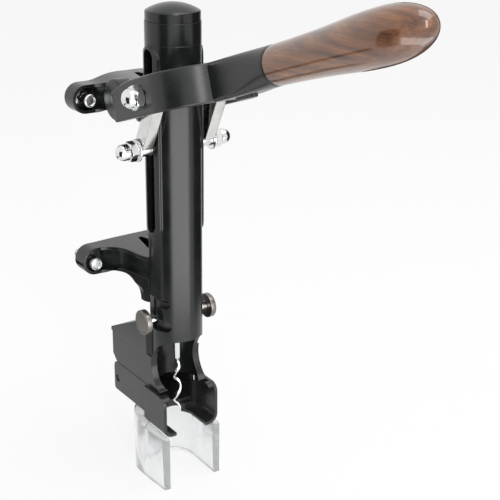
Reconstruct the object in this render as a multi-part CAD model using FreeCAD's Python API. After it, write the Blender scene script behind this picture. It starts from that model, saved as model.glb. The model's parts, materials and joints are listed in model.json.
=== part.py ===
"""Lever corkscrew for a wall or counter board.

Millimetres, +Z up. The board's face is the plane Y = 0 and the handle points to -Y.
X = 0 is the plane of symmetry. Z = 0 is midway between the two rows of wall studs.
"""
import FreeCAD, Part
import math
import os

# Place of the tube from the wall, and of the guard's foot below the origin
wall_to_tube = 64.0
origin_height = 237.0
tube_y = -wall_to_tube

# Half length of the shapes that cut right through the part
cut_reach = 80.0

# Clearances between pieces of different bodies
sliding_gap = 0.35
side_gap = 0.4
running_gap = 0.05
seat_gap = 0.3

# Slotted tube
tube_radius = 20.0
tube_wall = 3.5
tube_top_height = 345.6
slot_half_width = 5.6
slot_low_height = 208.5
slot_high_height = 342.5
slot_rim_width = 4.0
slot_rim_rise = 1.3
slot_rim_rounding = 0.8

# Head collar and cap
collar_height = 15.4
collar_spigot_depth = 9.0
collar_spigot_wall = 2.4
cap_radius = 19.6
cap_side_height = 6.8
cap_crown = 5.6
cap_edge_round = 1.4
cap_plug_depth = 8.0
cap_plug_wall = 2.0

# Wall brackets
stud_row_spacing = 127.0
stud_spacing = 86.0
pad_half_height = 10.6
upper_pad_margin = 11.0
lower_pad_margin = 8.6
pad_floor = 6.0
pad_rim_depth = 13.5
pocket_radius = 8.2
pocket_reach = 17.0
pocket_slope_run = 8.0
pocket_slope_top = 15.0
pad_level_reach = 7.0
arm_rise_run = 7.0
upper_root_rise = 4.3
upper_root_drop = 4.0
lower_root_rise = 0.4
lower_root_drop = 17.0
bracket_arm_lift = 1.8
root_end_depth = 40.0
root_steps = 8
bracket_cove_depth = 3.2
bracket_flange = 2.8
hub_sweep_gap = 2.4

# Plan of a bracket's front from its knee to the tube: half width, distance behind the tube's axis
bracket_front = ((29.5, 46.5), (24.2, 40.2), (20.9, 27.0), (17.4, 11.4))

# Hole through a bracket behind the tube, round in front and narrow towards the wall
bracket_hole_depth = 29.5
bracket_hole_radius = 7.0
bracket_hole_tail_depth = 51.0
bracket_hole_tail_radius = 2.2

# Wall fasteners
stud_radius = 3.0
stud_shank_radius = 2.7
stud_step = 0.4
stud_hole_radius = 3.3
stud_out_length = 12.0
lock_nut_flats = 10.0
lock_nut_hex_height = 5.5
lock_nut_collar_radius = 5.1
lock_nut_collar_height = 7.5
wall_washer_radius = 6.0
wall_washer_thickness = 1.0

# Lever yoke, in its own frame: U forward from the fulcrum, V across, then pitched up
lever_pitch = 18.3
fulcrum_forward = 43.0
fulcrum_height = 305.0
hub_radius = 15.0
hub_inner_x = 25.2
hub_outer_x = 37.0
band_outer_x = 40.0
band_inner_x = 33.2
band_half_height = 13.0
band_drop = 3.0
band_rear_u = 1.5
band_straight_u = 57.0
band_front_inner_u = 84.5
band_front_outer_u = 91.5
band_corner_round = 9.0
neck_half_width = 12.6
neck_start_u = 86.0
neck_block_end_u = 128.0
neck_end_u = 150.0
neck_corner_round = 5.0
neck_face_radius = 12.6
rib_length = 21.0
rib_width = 5.0
rib_rise = 1.8
rib_start_u = 99.5

# Wooden grip along the lever's axis
grip_stations = (0.0, 22.0, 58.0, 91.0, 112.0, 126.0)
grip_radii = (13.0, 13.4, 14.8, 16.3, 15.0, 10.8)
grip_length = 135.0
grip_axis_v = -2.0
tang_radius = 4.0
tang_depth = 88.0
tang_head_length = 20.0

# Fulcrum
fulcrum_pin_radius = 5.0
fulcrum_pin_blind = 3.0
ear_radius = 13.0
ear_inner_x = 17.0
fulcrum_washer_radius = 11.0
fulcrum_washer_thickness = 1.2

# Links and their pivots
link_joint_u = 43.4
link_joint_v = -3.3
link_thickness = 8.8
link_half_width = 6.0
link_inner_x = 21.7
link_eye_radius = 5.2
link_bar_start = 3.6
link_bush_radius = 5.0
link_stud_radius = 4.5
arm_nut_flats = 15.0
arm_nut_hex_height = 7.0
arm_nut_height = 13.5

# Crosshead and cross pin
cross_pin_height = 272.2
cross_pin_radius = 4.0
crosshead_length = 34.0
crosshead_bore_radius = 6.2
sleeve_radius = 5.0
cross_washer_radius = 8.3
cross_washer_thickness = 1.6
cross_nut_flats = 13.0
cross_nut_hex_height = 6.5
cross_nut_height = 15.5

# Worm
spindle_radius = 2.4
spindle_head_radius = 5.2
spindle_head_length = 7.0
worm_top_height = 98.0
worm_tip_height = 54.5
worm_pitch = 21.0
worm_coil_radius = 2.4
worm_wire_radius = 1.8
worm_tip_radius = 0.3
worm_sections = 32
thrust_washer_thickness = 1.0
retaining_nut_length = 5.0

# Nut carrier, latch pins and knobs
latch_height = 138.3
latch_travel = 12.0
carrier_bottom_height = 127.0
carrier_length = 27.0
carrier_bore_radius = 8.0
drive_nut_length = 20.0
drive_nut_gap = 0.08
latch_pin_radius = 3.0
latch_pin_inner_x = 12.0
knob_radius = 9.6
knob_thickness = 4.8
knob_outer_x = 30.8
knob_edge_round = 0.6
spring_seat_height = 196.0
spring_seat_thickness = 3.0
spring_seat_bore = 11.0
spring_wire_radius = 1.1
spring_turns = 7
guide_bush_height = 8.0
guide_bush_bore = 11.0

# Latch windows in the tube
window_low_height = 130.8
window_top_height = 156.6
window_rear_angle = -27.0
window_leg_angle = 11.0
window_branch_angle = 34.0
window_upper_branch = 7.0
window_lower_branch = 9.0

# Lower housing and its front arch
housing_half_width = 21.8
housing_panel_rise = 0.9
housing_bottom_height = 79.8
housing_rear_gap = 0.6
housing_rear_chamfer = 5.5
housing_front_depth = 5.0
housing_panel_blend = 2.9
roof_rear_height = 109.0
panel_below_roof = 3.0
housing_panel_height = roof_rear_height - panel_below_roof
roof_front_height = 131.5
roof_front_depth = 18.0
shoulder_height = 104.0
shoulder_rise = 9.0
arch_radius = 23.0
arch_height = 100.0
arch_forward = 20.4
arch_mouth_depth = 9.0
housing_cavity_half_width = 17.0
housing_cavity_height = 104.0
housing_wall = 4.0

# Clamp box, jaw and guard
clamp_half_width = 21.8
clamp_wall = 3.0
clamp_gap = 0.6
clamp_bottom_height = 53.4
clamp_front_depth = 10.0
clamp_rear_depth = 62.2
clamp_rear_round = 2.5
clamp_pin_height = 64.3
clamp_pin_depth = 56.6
clamp_pin_radius = 3.0
clamp_lug_radius = 5.0
clamp_lug_half_width = 14.0
clamp_lug_thickness = 5.0
clamp_corner = 5.5
jaw_outer_x = 24.6
jaw_wall = 2.4
jaw_front = 20.2
jaw_top_height = 79.0
jaw_bend_radius = 8.0
jaw_corner_radius = 7.0
jaw_bottom_height = 45.3
jaw_tail_depth = 58.0
jaw_tail_gap = 0.4
jaw_curl = 4.5
jaw_curl_depth = 8.0
jaw_return_height = 25.0
fork_radius = 13.4
guard_outer_half = 27.5
guard_inner_half = 20.4
guard_front = 22.0
guard_front_half = 25.8
guard_taper_start = 0.0
guard_outer_centre = 14.0
guard_inner_centre = 9.5
guard_screw_radius = 1.6
guard_screw_head_radius = 3.2
guard_screw_length = 12.0
guard_screw_x = 13.0
guard_screw_depth = 31.0
clamp_spring_wire = 0.9
clamp_spring_turns = 6


def height(above_foot):
    """Z of a level given as a height above the guard's foot."""
    return above_foot - origin_height


def depth(behind_tube):
    """Y of a place given as a distance behind the tube's axis."""
    return tube_y + behind_tube


def vec(x, y, z):
    return FreeCAD.Vector(x, y, z)


def box(x0, x1, y0, y1, z0, z1):
    """Box between two corners."""
    return Part.makeBox(x1 - x0, y1 - y0, z1 - z0, vec(x0, y0, z0))


def cylinder_z(radius, z0, z1, x=0.0, y=tube_y):
    return Part.makeCylinder(radius, z1 - z0, vec(x, y, z0), vec(0, 0, 1))


def cylinder_x(radius, x0, x1, y, z):
    return Part.makeCylinder(radius, x1 - x0, vec(x0, y, z), vec(1, 0, 0))


def cylinder_y(radius, y0, y1, x, z):
    return Part.makeCylinder(radius, y1 - y0, vec(x, y0, z), vec(0, 1, 0))


def prism(points, direction):
    """Straight-sided prism from a closed run of corner points."""
    wire = Part.makePolygon([vec(*p) for p in points] + [vec(*points[0])])
    return Part.Face(wire).extrude(vec(*direction))


def prism_x(outline_yz, x0, x1):
    return prism([(x0, y, z) for y, z in outline_yz], (x1 - x0, 0, 0))


def turned(outline_rz, base, axis):
    """Turned solid from a closed outline of (radius, distance along the axis)."""
    wire = Part.makePolygon([vec(r, 0, z) for r, z in outline_rz] + [vec(outline_rz[0][0], 0, outline_rz[0][1])])
    solid = Part.Face(wire).revolve(vec(0, 0, 0), vec(0, 0, 1), 360)
    solid = Part.Solid(solid) if solid.ShapeType != "Solid" else solid
    placement = FreeCAD.Placement(vec(*base), FreeCAD.Rotation(vec(0, 0, 1), vec(*axis)))
    solid.Placement = placement
    return solid


def hexagon(flats, thickness, base, axis):
    """Hexagonal prism with a corner along its own first axis."""
    corner = flats / 2.0 / math.cos(math.pi / 6)
    points = []
    for side in range(6):
        angle = side * math.pi / 3
        points.append((corner * math.cos(angle), corner * math.sin(angle), 0.0))
    solid = prism(points, (0, 0, thickness))
    solid.Placement = FreeCAD.Placement(vec(*base), FreeCAD.Rotation(vec(0, 0, 1), vec(*axis)))
    return solid


def fuse_all(first, *others):
    """One solid from touching pieces, with the seams between coplanar faces removed."""
    return first.fuse(list(others)).removeSplitter()


def mirrored(shape):
    """The same piece on the other side of the plane X = 0."""
    return shape.mirror(vec(0, 0, 0), vec(1, 0, 0))


def both_sides(shape):
    """A left piece and its mirror image as two separate solids."""
    return Part.makeCompound([shape, mirrored(shape)])


def stadium_prism_x(half_width, y, z_low, z_high, x0, x1):
    """Upright slot shape through X: straight flanks and round ends."""
    low = z_low + half_width
    high = z_high - half_width
    flank = box(x0, x1, y - half_width, y + half_width, low, high)
    ends = [cylinder_x(half_width, x0, x1, y, z) for z in (low, high)]
    return fuse_all(flank, *ends)


# Lever frame: U runs forward from the fulcrum, V runs up across the lever
fulcrum_y = -fulcrum_forward
fulcrum_z = height(fulcrum_height)
band_low_v = -band_drop - band_half_height
band_high_v = -band_drop + band_half_height


def pitched(shape):
    """Turn a piece built level, with U along -Y and V along +Z, up to the lever's pitch."""
    turned_shape = shape.copy()
    turned_shape.rotate(vec(0, fulcrum_y, fulcrum_z), vec(-1, 0, 0), lever_pitch)
    return turned_shape


def lever_y(u):
    return fulcrum_y - u


def lever_z(v):
    return fulcrum_z + v


def on_lever(u, v):
    """Y and Z of a lever point after the pitch."""
    angle = math.radians(lever_pitch)
    y = fulcrum_y - u * math.cos(angle) + v * math.sin(angle)
    z = fulcrum_z + u * math.sin(angle) + v * math.cos(angle)
    return y, z


joint_y, joint_z = on_lever(link_joint_u, link_joint_v)
cross_pin_z = height(cross_pin_height)
link_length = math.hypot(joint_y - tube_y, joint_z - cross_pin_z)
link_tilt = math.degrees(math.atan2(tube_y - joint_y, joint_z - cross_pin_z))
link_outer_x = link_inner_x + link_thickness
bore_radius = tube_radius - tube_wall


def tube_solid():
    """Outer tube with raised rims round the two slots, before any bore."""
    base = height(housing_bottom_height)
    top = height(tube_top_height)
    solid = cylinder_z(tube_radius, base, top)
    rim_half = slot_half_width + slot_rim_width
    rim_x = tube_radius + slot_rim_rise
    low = height(slot_low_height) - slot_rim_width
    high = top - 0.4
    rim = stadium_prism_x(rim_half, tube_y, low, high - slot_rim_rounding, -rim_x, rim_x)
    rim = rim.common(cylinder_z(rim_x, low - 1.0, high + 1.0))
    lower_rim = stadium_prism_x(rim_half + slot_rim_rounding, tube_y, low - slot_rim_rounding, high, -rim_x, rim_x)
    foot = tube_radius + slot_rim_rise / 2.0
    lower_rim = lower_rim.common(cylinder_z(foot, low - slot_rim_rounding - 1.0, high + 1.0))
    return fuse_all(solid, lower_rim, rim)


def latch_window():
    """Hooked window in the left wall: an upright leg with an upper and a lower branch to the front."""
    low = height(window_low_height)
    top = height(window_top_height)
    leg = wall_sector(window_rear_angle, window_leg_angle, low, top)
    lower = window_branch(low, window_lower_branch)
    upper = window_branch(top - window_upper_branch, window_upper_branch)
    return fuse_all(leg, lower, upper)


def window_branch(z0, opening):
    """Branch of the window from its leg to a round end."""
    turn = math.radians(window_branch_angle)
    middle = z0 + opening / 2.0
    outward = vec(-math.cos(turn), -math.sin(turn), 0)
    end = Part.makeCylinder(opening / 2.0, tube_radius + 4.0, vec(0, tube_y, middle), outward)
    return fuse_all(wall_sector(window_leg_angle - 2.0, window_branch_angle, z0, z0 + opening), end)


def wall_sector(from_angle, to_angle, z0, z1):
    """Block through the tube's wall between two angles, measured from -X towards -Y."""
    inner = bore_radius - 2.0
    outer = tube_radius + 4.0
    corners = []
    for radius, angles in ((inner, (from_angle, to_angle)), (outer, (to_angle, from_angle))):
        for angle in angles:
            turn = math.radians(angle)
            corners.append((-radius * math.cos(turn), tube_y - radius * math.sin(turn), z0))
    return prism(corners, (0, 0, z1 - z0))


def bracket_front_profile(tip_x, stud_z, root_rise, root_drop):
    """Left half of a bracket's front view: level at the pad, with roots along the tube."""
    low = stud_z - pad_half_height
    high = stud_z + pad_half_height
    tip = tip_x + 1.0
    level_x = stud_spacing / 2.0 - pad_level_reach
    y0 = depth(0.0)
    top = Part.BSplineCurve()
    top.interpolate([
        vec(-level_x, y0, high),
        vec(-tube_radius - 3.5, y0, high + root_rise * 0.6),
        vec(-tube_radius * 0.64, y0, high + root_rise),
        vec(0, y0, high + root_rise),
    ], InitialTangent=vec(10, 0, 0), FinalTangent=vec(10, 0, 0))
    lift = low + bracket_arm_lift
    bottom = Part.BSplineCurve()
    bottom.interpolate([
        vec(-level_x, y0, low),
        vec(-level_x + arm_rise_run, y0, lift),
        vec(-tube_radius - 3.6, y0, lift - root_drop * 0.05),
        vec(-tube_radius - 0.6, y0, lift - root_drop * 0.3),
        vec(-tube_radius + 1.0, y0, lift - root_drop),
    ], InitialTangent=vec(8, 0, 0), FinalTangent=vec(0, 0, -root_drop * 0.8))
    corners = [
        vec(-tube_radius + 1.0, y0, lift - root_drop),
        vec(0, y0, lift - root_drop),
        vec(0, y0, high + root_rise),
    ]
    edges = [top.toShape(), bottom.toShape()]
    edges += [Part.LineSegment(a, b).toShape() for a, b in zip(corners, corners[1:])]
    edges.append(Part.LineSegment(vec(-level_x, y0, high), vec(-tip, y0, high)).toShape())
    edges.append(Part.LineSegment(vec(-tip, y0, high), vec(-tip, y0, low)).toShape())
    edges.append(Part.LineSegment(vec(-tip, y0, low), vec(-level_x, y0, low)).toShape())
    return Part.Face(Part.Wire(Part.__sortEdges__(edges))).extrude(vec(0, wall_to_tube + 1.0, 0))


def upper_tip_x():
    return stud_spacing / 2.0 + upper_pad_margin


def lower_tip_x():
    return stud_spacing / 2.0 + lower_pad_margin


def wing_plan(tip_x, z0, z1):
    """Left half of a bracket in plan: flat at the wall, with a front that sweeps forward to the tube."""
    pad_front = -pad_rim_depth
    level_x = stud_spacing / 2.0 - pad_level_reach
    knees = [vec(-half, depth(behind), z0) for half, behind in bracket_front]
    front = Part.BSplineCurve()
    front.interpolate([vec(-level_x, pad_front, z0)] + knees, InitialTangent=vec(9, 0, 0))
    edges = [front.toShape()]
    corners = [knees[-1], vec(0, knees[-1].y, z0), vec(0, 0, z0), vec(-tip_x, 0, z0)]
    corners += [vec(-tip_x, pad_front, z0), vec(-level_x, pad_front, z0)]
    edges += [Part.LineSegment(a, b).toShape() for a, b in zip(corners, corners[1:])]
    return Part.Face(Part.Wire(Part.__sortEdges__(edges))).extrude(vec(0, 0, z1 - z0))


def pad_recess(tip_x, stud_z):
    """Pocket in the left pad's front that leaves a rim and the floor under the nut."""
    front = -pad_rim_depth - 1.0
    open_y = -2.2 * pad_rim_depth
    centre_x = -tip_x + pad_half_height
    inner_x = -stud_spacing / 2.0 + pocket_reach
    z0 = stud_z - pocket_radius
    pocket = prism(
        [
            (centre_x, -pad_floor, z0),
            (inner_x - pocket_slope_run, -pad_floor, z0),
            (inner_x, -pocket_slope_top, z0),
            (inner_x, open_y, z0),
            (centre_x, open_y, z0),
        ],
        (0, 0, 2.0 * pocket_radius),
    )
    return fuse_all(pocket, cylinder_y(pocket_radius, front, -pad_floor, centre_x, stud_z))


def bracket_cove(plan, stud_z):
    """Shallow hollow along the left arm's front, between its top and bottom flanges."""
    core = plan.copy()
    core.translate(vec(bracket_cove_depth, bracket_cove_depth * 0.8, 0))
    z0 = stud_z - pad_half_height + bracket_arm_lift + bracket_flange
    z1 = stud_z + pad_half_height - bracket_flange
    zone = box(-stud_spacing / 2.0 + pocket_reach - 1.0, -10.0, depth(5.0), -pad_floor, z0, z1)
    return zone.cut(core)


def root_relief(stud_z, root_drop):
    """Cutter under a bracket that leaves its lower root as a fillet on the tube's rear only."""
    lift = stud_z - pad_half_height + bracket_arm_lift
    near = depth(tube_radius)
    far = depth(root_end_depth)
    outline = []
    for step in range(root_steps + 1):
        turn = math.pi / 2.0 * step / root_steps
        outline.append((near + (far - near) * (1.0 - math.cos(turn)), lift - root_drop * (1.0 - math.sin(turn))))
    low = lift - root_drop - 1.0
    outline += [(1.0, lift), (1.0, low), (near, low)]
    end = stud_spacing / 2.0 - pad_level_reach - arm_rise_run
    return prism_x(outline, -end, end)


def bracket_hole(z0, z1):
    """Hole through a bracket behind the tube."""
    front = depth(bracket_hole_depth)
    tail = depth(bracket_hole_tail_depth)
    taper = prism(
        [
            (-bracket_hole_radius, front, z0),
            (bracket_hole_radius, front, z0),
            (bracket_hole_tail_radius, tail, z0),
            (-bracket_hole_tail_radius, tail, z0),
        ],
        (0, 0, z1 - z0),
    )
    round_end = cylinder_z(bracket_hole_radius, z0, z1, 0.0, front)
    return fuse_all(taper, round_end, cylinder_z(bracket_hole_tail_radius, z0, z1, 0.0, tail))


def bracket(tip_x, stud_z, root_rise, root_drop):
    """One winged bracket with recessed pads, stud holes and a hole behind the tube."""
    stud_x = stud_spacing / 2.0
    z0 = stud_z - pad_half_height - root_drop - 1.0
    z1 = stud_z + pad_half_height + root_rise + 2.0
    plan = wing_plan(tip_x, z0, z1)
    wing = plan.common(bracket_front_profile(tip_x, stud_z, root_rise, root_drop))
    centre_x = tip_x - pad_half_height
    reach = box(-centre_x, 1.0, depth(0), 1.0, z0, z1)
    tip = cylinder_y(pad_half_height, depth(0), 1.0, -centre_x, stud_z)
    wing = wing.common(fuse_all(reach, tip))
    wing = wing.cut(pad_recess(tip_x, stud_z)).cut(bracket_cove(plan, stud_z))
    wing = wing.cut(cylinder_y(stud_hole_radius, -pad_rim_depth - 5.0, 1.0, -stud_x, stud_z))
    wing = wing.cut(bracket_hole(z0 - 1.0, z1 + 1.0)).cut(root_relief(stud_z, root_drop))
    return [wing, mirrored(wing)]


def ear_outer_x():
    """Outer face of the ears, under the fulcrum washers."""
    return hub_inner_x - fulcrum_washer_thickness - seat_gap


def ears():
    """Left and right ears that carry the fulcrum pins and join the upper bracket."""
    outer = ear_outer_x()
    disc = cylinder_x(ear_radius, -outer, -ear_inner_x, fulcrum_y, fulcrum_z)
    web_rear = fulcrum_y + hub_radius + hub_sweep_gap + 2.0
    outline = [
        (fulcrum_y, fulcrum_z + ear_radius),
        (web_rear, fulcrum_z + ear_radius - 4.0),
        (web_rear, fulcrum_z - ear_radius),
        (fulcrum_y, fulcrum_z - ear_radius),
    ]
    left = fuse_all(disc, prism_x(outline, -outer, -ear_inner_x))
    return [left, mirrored(left)]


def fulcrum_bore():
    """Blind bore of the left fulcrum pin in its ear."""
    return cylinder_x(fulcrum_pin_radius, -ear_outer_x() - 1.0, -fulcrum_pin_inner_x(), fulcrum_y, fulcrum_z)


def fulcrum_pin_inner_x():
    return ear_inner_x + 2.0


def housing_block():
    """Lower housing: flat-sided box behind the arch, with proud upper panels and a sloping roof."""
    bottom = height(housing_bottom_height)
    rear = -housing_rear_gap
    panel_z = height(housing_panel_height)
    side = housing_half_width
    chamfer = housing_rear_chamfer
    lower = [
        (depth(-tube_radius), bottom),
        (rear - chamfer, bottom),
        (rear, bottom + chamfer),
        (rear, panel_z),
        (depth(housing_front_depth), panel_z),
        (depth(-tube_radius), panel_z),
    ]
    upper = [
        (depth(housing_front_depth), panel_z),
        (rear, panel_z),
        (rear, height(roof_rear_height)),
        (depth(roof_front_depth), height(roof_front_height)),
        (depth(housing_front_depth), height(roof_front_height)),
    ]
    flank = prism_x(lower, -side, side)
    panel_side = side + housing_panel_rise
    panel = prism_x(upper, -panel_side, panel_side)
    front_y = depth(housing_front_depth)
    corners = [e for e in panel.Edges if e.BoundBox.XLength < 0.001 and abs(e.BoundBox.YMax - front_y) < 0.001]
    panel = panel.makeChamfer(housing_panel_blend, corners)
    z0 = height(shoulder_height)
    shoulder = prism(
        [
            (-side, depth(-tube_radius), z0),
            (side, depth(-tube_radius), z0),
            (side - 5.0, depth(-tube_radius), z0 + shoulder_rise),
            (-side + 5.0, depth(-tube_radius), z0 + shoulder_rise),
        ],
        (0, housing_front_depth + tube_radius + 1.0, 0),
    )
    return fuse_all(flank, panel, shoulder)


def front_arch():
    """Cylinder across the front of the housing, open to the bottle's side."""
    return cylinder_x(arch_radius, -cut_reach, cut_reach, depth(-arch_forward), height(arch_height))


def body_casting():
    """Tube, brackets, ears and lower housing, cast in one piece."""
    upper_z = stud_row_spacing / 2.0
    lower_z = -upper_z
    upper = bracket(upper_tip_x(), upper_z, upper_root_rise, upper_root_drop)
    lower = bracket(lower_tip_x(), lower_z, lower_root_rise, lower_root_drop)
    solid = tube_solid().fuse(upper + lower + ears() + [housing_block()])
    top = height(tube_top_height)
    bottom = height(housing_bottom_height)
    solid = solid.cut(cylinder_z(bore_radius, bottom - 1.0, top + 1.0))
    slot = stadium_prism_x(slot_half_width, tube_y, height(slot_low_height), height(slot_high_height), -cut_reach, cut_reach)
    solid = solid.cut(slot)
    window = latch_window()
    opposite = window.copy()
    opposite.rotate(vec(0, tube_y, 0), vec(0, 0, 1), 180)
    solid = solid.cut(window).cut(opposite).cut(front_arch())
    solid = solid.cut(fulcrum_bore()).cut(mirrored(fulcrum_bore()))
    mouth = box(-cut_reach, cut_reach, depth(-cut_reach), depth(-arch_mouth_depth), bottom - 1.0, height(arch_height))
    solid = solid.cut(mouth)
    cavity = box(
        -housing_cavity_half_width,
        housing_cavity_half_width,
        depth(bore_radius + housing_wall),
        depth(clamp_pin_depth) + clamp_lug_radius - 2.5,
        bottom - 1.0,
        height(housing_cavity_height),
    )
    return solid.cut(cavity).fuse([clamp_lug()])


def head_collar():
    """Ring on the tube's top with a spigot down into the bore."""
    z0 = height(tube_top_height)
    z1 = z0 + collar_height
    spigot_outer = bore_radius - running_gap
    inner = spigot_outer - collar_spigot_wall
    outline = [
        (inner, z0 - collar_spigot_depth),
        (spigot_outer, z0 - collar_spigot_depth),
        (spigot_outer, z0),
        (tube_radius, z0),
        (tube_radius, z1),
        (inner, z1),
    ]
    ring = turned(outline, (0, tube_y, 0), (0, 0, 1))
    rim_half = slot_half_width
    low = z0 - collar_spigot_depth - 1.0
    notch = box(-cut_reach, cut_reach, tube_y - rim_half, tube_y + rim_half, low, z0 - 0.5)
    return ring.cut(notch)


def top_cap():
    """Domed cap with a plug inside the collar."""
    z0 = height(tube_top_height) + collar_height
    plug_radius = bore_radius - running_gap - collar_spigot_wall - running_gap
    side_top = z0 + cap_side_height
    crown_radius = (cap_radius ** 2 + cap_crown ** 2) / (2.0 * cap_crown)
    centre_z = side_top + cap_crown - crown_radius
    ball = Part.makeSphere(crown_radius, vec(0, tube_y, centre_z))
    disc = cylinder_z(cap_radius, z0, side_top + cap_crown + 1.0)
    crown = disc.common(ball)
    outer_edges = [e for e in crown.Edges if abs(e.BoundBox.ZMin - side_top) < 0.05 and e.BoundBox.ZLength < 0.05]
    crown = crown.makeFillet(cap_edge_round, outer_edges)
    plug = cylinder_z(plug_radius, z0 - cap_plug_depth, z0 + 1.0)
    plug = plug.cut(cylinder_z(plug_radius - cap_plug_wall, z0 - cap_plug_depth - 1.0, z0))
    return fuse_all(crown, plug)


def yoke_plan(inner_x, straight_u, front_u, rear_u, z0, z1):
    """Plan of the fork: straight arms closed at the front by half an ellipse, as a solid block."""
    y_straight = lever_y(straight_u)
    arms = box(-inner_x, inner_x, y_straight, lever_y(rear_u), z0, z1)
    half_u = front_u - straight_u
    major = max(inner_x, half_u)
    minor = min(inner_x, half_u)
    ellipse = Part.Ellipse(vec(0, y_straight, z0), major, minor)
    face = Part.Face(Part.Wire(ellipse.toShape()))
    front = face.extrude(vec(0, 0, z1 - z0))
    if half_u > inner_x:
        front.rotate(vec(0, y_straight, z0), vec(0, 0, 1), 90)
    return fuse_all(arms, front)


def lever_yoke():
    """Fork with hubs at its rear, a neck block with a round end and a rib under the neck."""
    z0 = lever_z(band_low_v)
    z1 = lever_z(band_high_v)
    outer = yoke_plan(band_outer_x, band_straight_u, band_front_outer_u, band_rear_u, z0, z1)
    inner = yoke_plan(band_inner_x, band_straight_u, band_front_inner_u, band_rear_u - cut_reach, z0 - 1.0, z1 + 1.0)
    corner = [
        (lever_y(band_rear_u) + 1.0, z1 + 1.0),
        (lever_y(band_rear_u) + 1.0, lever_z(band_high_v) - 4.6),
        (lever_y(band_rear_u) - 0.5, lever_z(band_high_v) - 4.2),
        (lever_y(band_rear_u) - 17.0, lever_z(band_high_v) - 1.0),
        (lever_y(band_rear_u) - 34.0, lever_z(band_high_v)),
        (lever_y(band_rear_u) - 34.0, z1 + 1.0),
    ]
    band = outer.cut(prism_x(corner, -cut_reach, cut_reach))
    band = band.cut(inner)
    hub = cylinder_x(hub_radius, -hub_outer_x, -hub_inner_x, fulcrum_y, fulcrum_z)
    hub_rim = [e for e in hub.Edges if e.BoundBox.XLength < 0.001]
    hub = hub.makeChamfer(1.2, hub_rim)
    bore_end = -hub_inner_x - fulcrum_pin_length_in_hub()
    pin_bore = cylinder_x(fulcrum_pin_radius + running_gap, bore_end - 0.3, 0, fulcrum_y, fulcrum_z)
    neck = neck_block(z0, z1)
    rib_y = lever_y(rib_start_u + rib_length)
    rib = box(-rib_width / 2.0, rib_width / 2.0, rib_y, rib_y + rib_length, z0 - rib_rise, z0 + 2.0)
    stud_bore = cylinder_x(link_stud_radius, -cut_reach, -band_inner_x + 5.0, lever_y(link_joint_u), lever_z(link_joint_v))
    solid = fuse_all(band, hub, mirrored(hub), neck, rib)
    solid = solid.cut(pin_bore).cut(mirrored(pin_bore))
    solid = solid.cut(stud_bore).cut(mirrored(stud_bore))
    tang_y = lever_y(neck_end_u)
    tang_hole = cylinder_y(tang_radius, tang_y - 1.0, tang_y + tang_head_length, 0, lever_z(grip_axis_v))
    solid = solid.cut(tang_hole)
    return pitched(solid.removeSplitter())


def fulcrum_pin_length_in_hub():
    return hub_outer_x - hub_inner_x - fulcrum_pin_blind


def neck_block(z0, z1):
    """Rounded block that runs forward and turns round where the grip begins."""
    y_rear = lever_y(neck_start_u)
    y_block = lever_y(neck_block_end_u)
    y_end = lever_y(neck_end_u)
    block = box(-neck_half_width, neck_half_width, y_block, y_rear, z0, z1)
    long_edges = [e for e in block.Edges if e.BoundBox.XLength < 0.001 and e.BoundBox.ZLength < 0.001]
    block = block.makeFillet(neck_corner_round, long_edges)
    rear_face_wire = rounded_rectangle(neck_half_width, z0, z1, neck_corner_round, y_block)
    axis_z = lever_z(grip_axis_v)
    end_wire = rounded_rectangle(
        neck_face_radius, axis_z - neck_face_radius, axis_z + neck_face_radius, neck_face_radius - 0.6, y_end
    )
    transition = Part.makeLoft([rear_face_wire, end_wire], True, False)
    return fuse_all(block, transition)


def rounded_rectangle(half_width, z0, z1, corner, y):
    """Closed outline in a plane of constant Y, with quarter-circle corners."""
    x1 = half_width
    diagonal = corner * (1.0 - math.sqrt(0.5))
    edges = []
    corners = (
        ((x1, z0 + corner), (x1, z1 - corner), (x1 - diagonal, z1 - diagonal), (x1 - corner, z1)),
        ((x1 - corner, z1), (-x1 + corner, z1), (-x1 + diagonal, z1 - diagonal), (-x1, z1 - corner)),
        ((-x1, z1 - corner), (-x1, z0 + corner), (-x1 + diagonal, z0 + diagonal), (-x1 + corner, z0)),
        ((-x1 + corner, z0), (x1 - corner, z0), (x1 - diagonal, z0 + diagonal), (x1, z0 + corner)),
    )
    for start, line_end, arc_middle, arc_end in corners:
        a, b, c, d = (vec(x, y, z) for x, z in (start, line_end, arc_middle, arc_end))
        edges.append(Part.LineSegment(a, b).toShape())
        edges.append(Part.Arc(b, c, d).toShape())
    return Part.Wire(edges)


def handle_grip():
    """Turned wooden grip, slim at the neck and full before its rounded end."""
    points = [vec(radius, 0, station) for station, radius in zip(grip_stations, grip_radii)]
    points.append(vec(0, 0, grip_length))
    curve = Part.BSplineCurve()
    curve.interpolate(points, InitialTangent=vec(0.1, 0, 8), FinalTangent=vec(-30, 0, 0))
    hole = tang_radius + running_gap
    edges = [
        curve.toShape(),
        Part.LineSegment(vec(0, 0, grip_length), vec(0, 0, tang_depth + 1.0)).toShape(),
        Part.LineSegment(vec(0, 0, tang_depth + 1.0), vec(hole, 0, tang_depth + 1.0)).toShape(),
        Part.LineSegment(vec(hole, 0, tang_depth + 1.0), vec(hole, 0, 0)).toShape(),
        Part.LineSegment(vec(hole, 0, 0), points[0]).toShape(),
    ]
    solid = Part.Face(Part.Wire(edges)).revolve(vec(0, 0, 0), vec(0, 0, 1), 360)
    base = vec(0, lever_y(neck_end_u), lever_z(grip_axis_v))
    solid.Placement = FreeCAD.Placement(base, FreeCAD.Rotation(vec(0, 0, 1), vec(0, -1, 0)))
    return pitched(solid)


def handle_tang():
    """Steel rod that joins the neck and the grip."""
    y_end = lever_y(neck_end_u + tang_depth)
    rod = cylinder_y(tang_radius, y_end, lever_y(neck_end_u) + tang_head_length, 0, lever_z(grip_axis_v))
    return pitched(rod)


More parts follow.
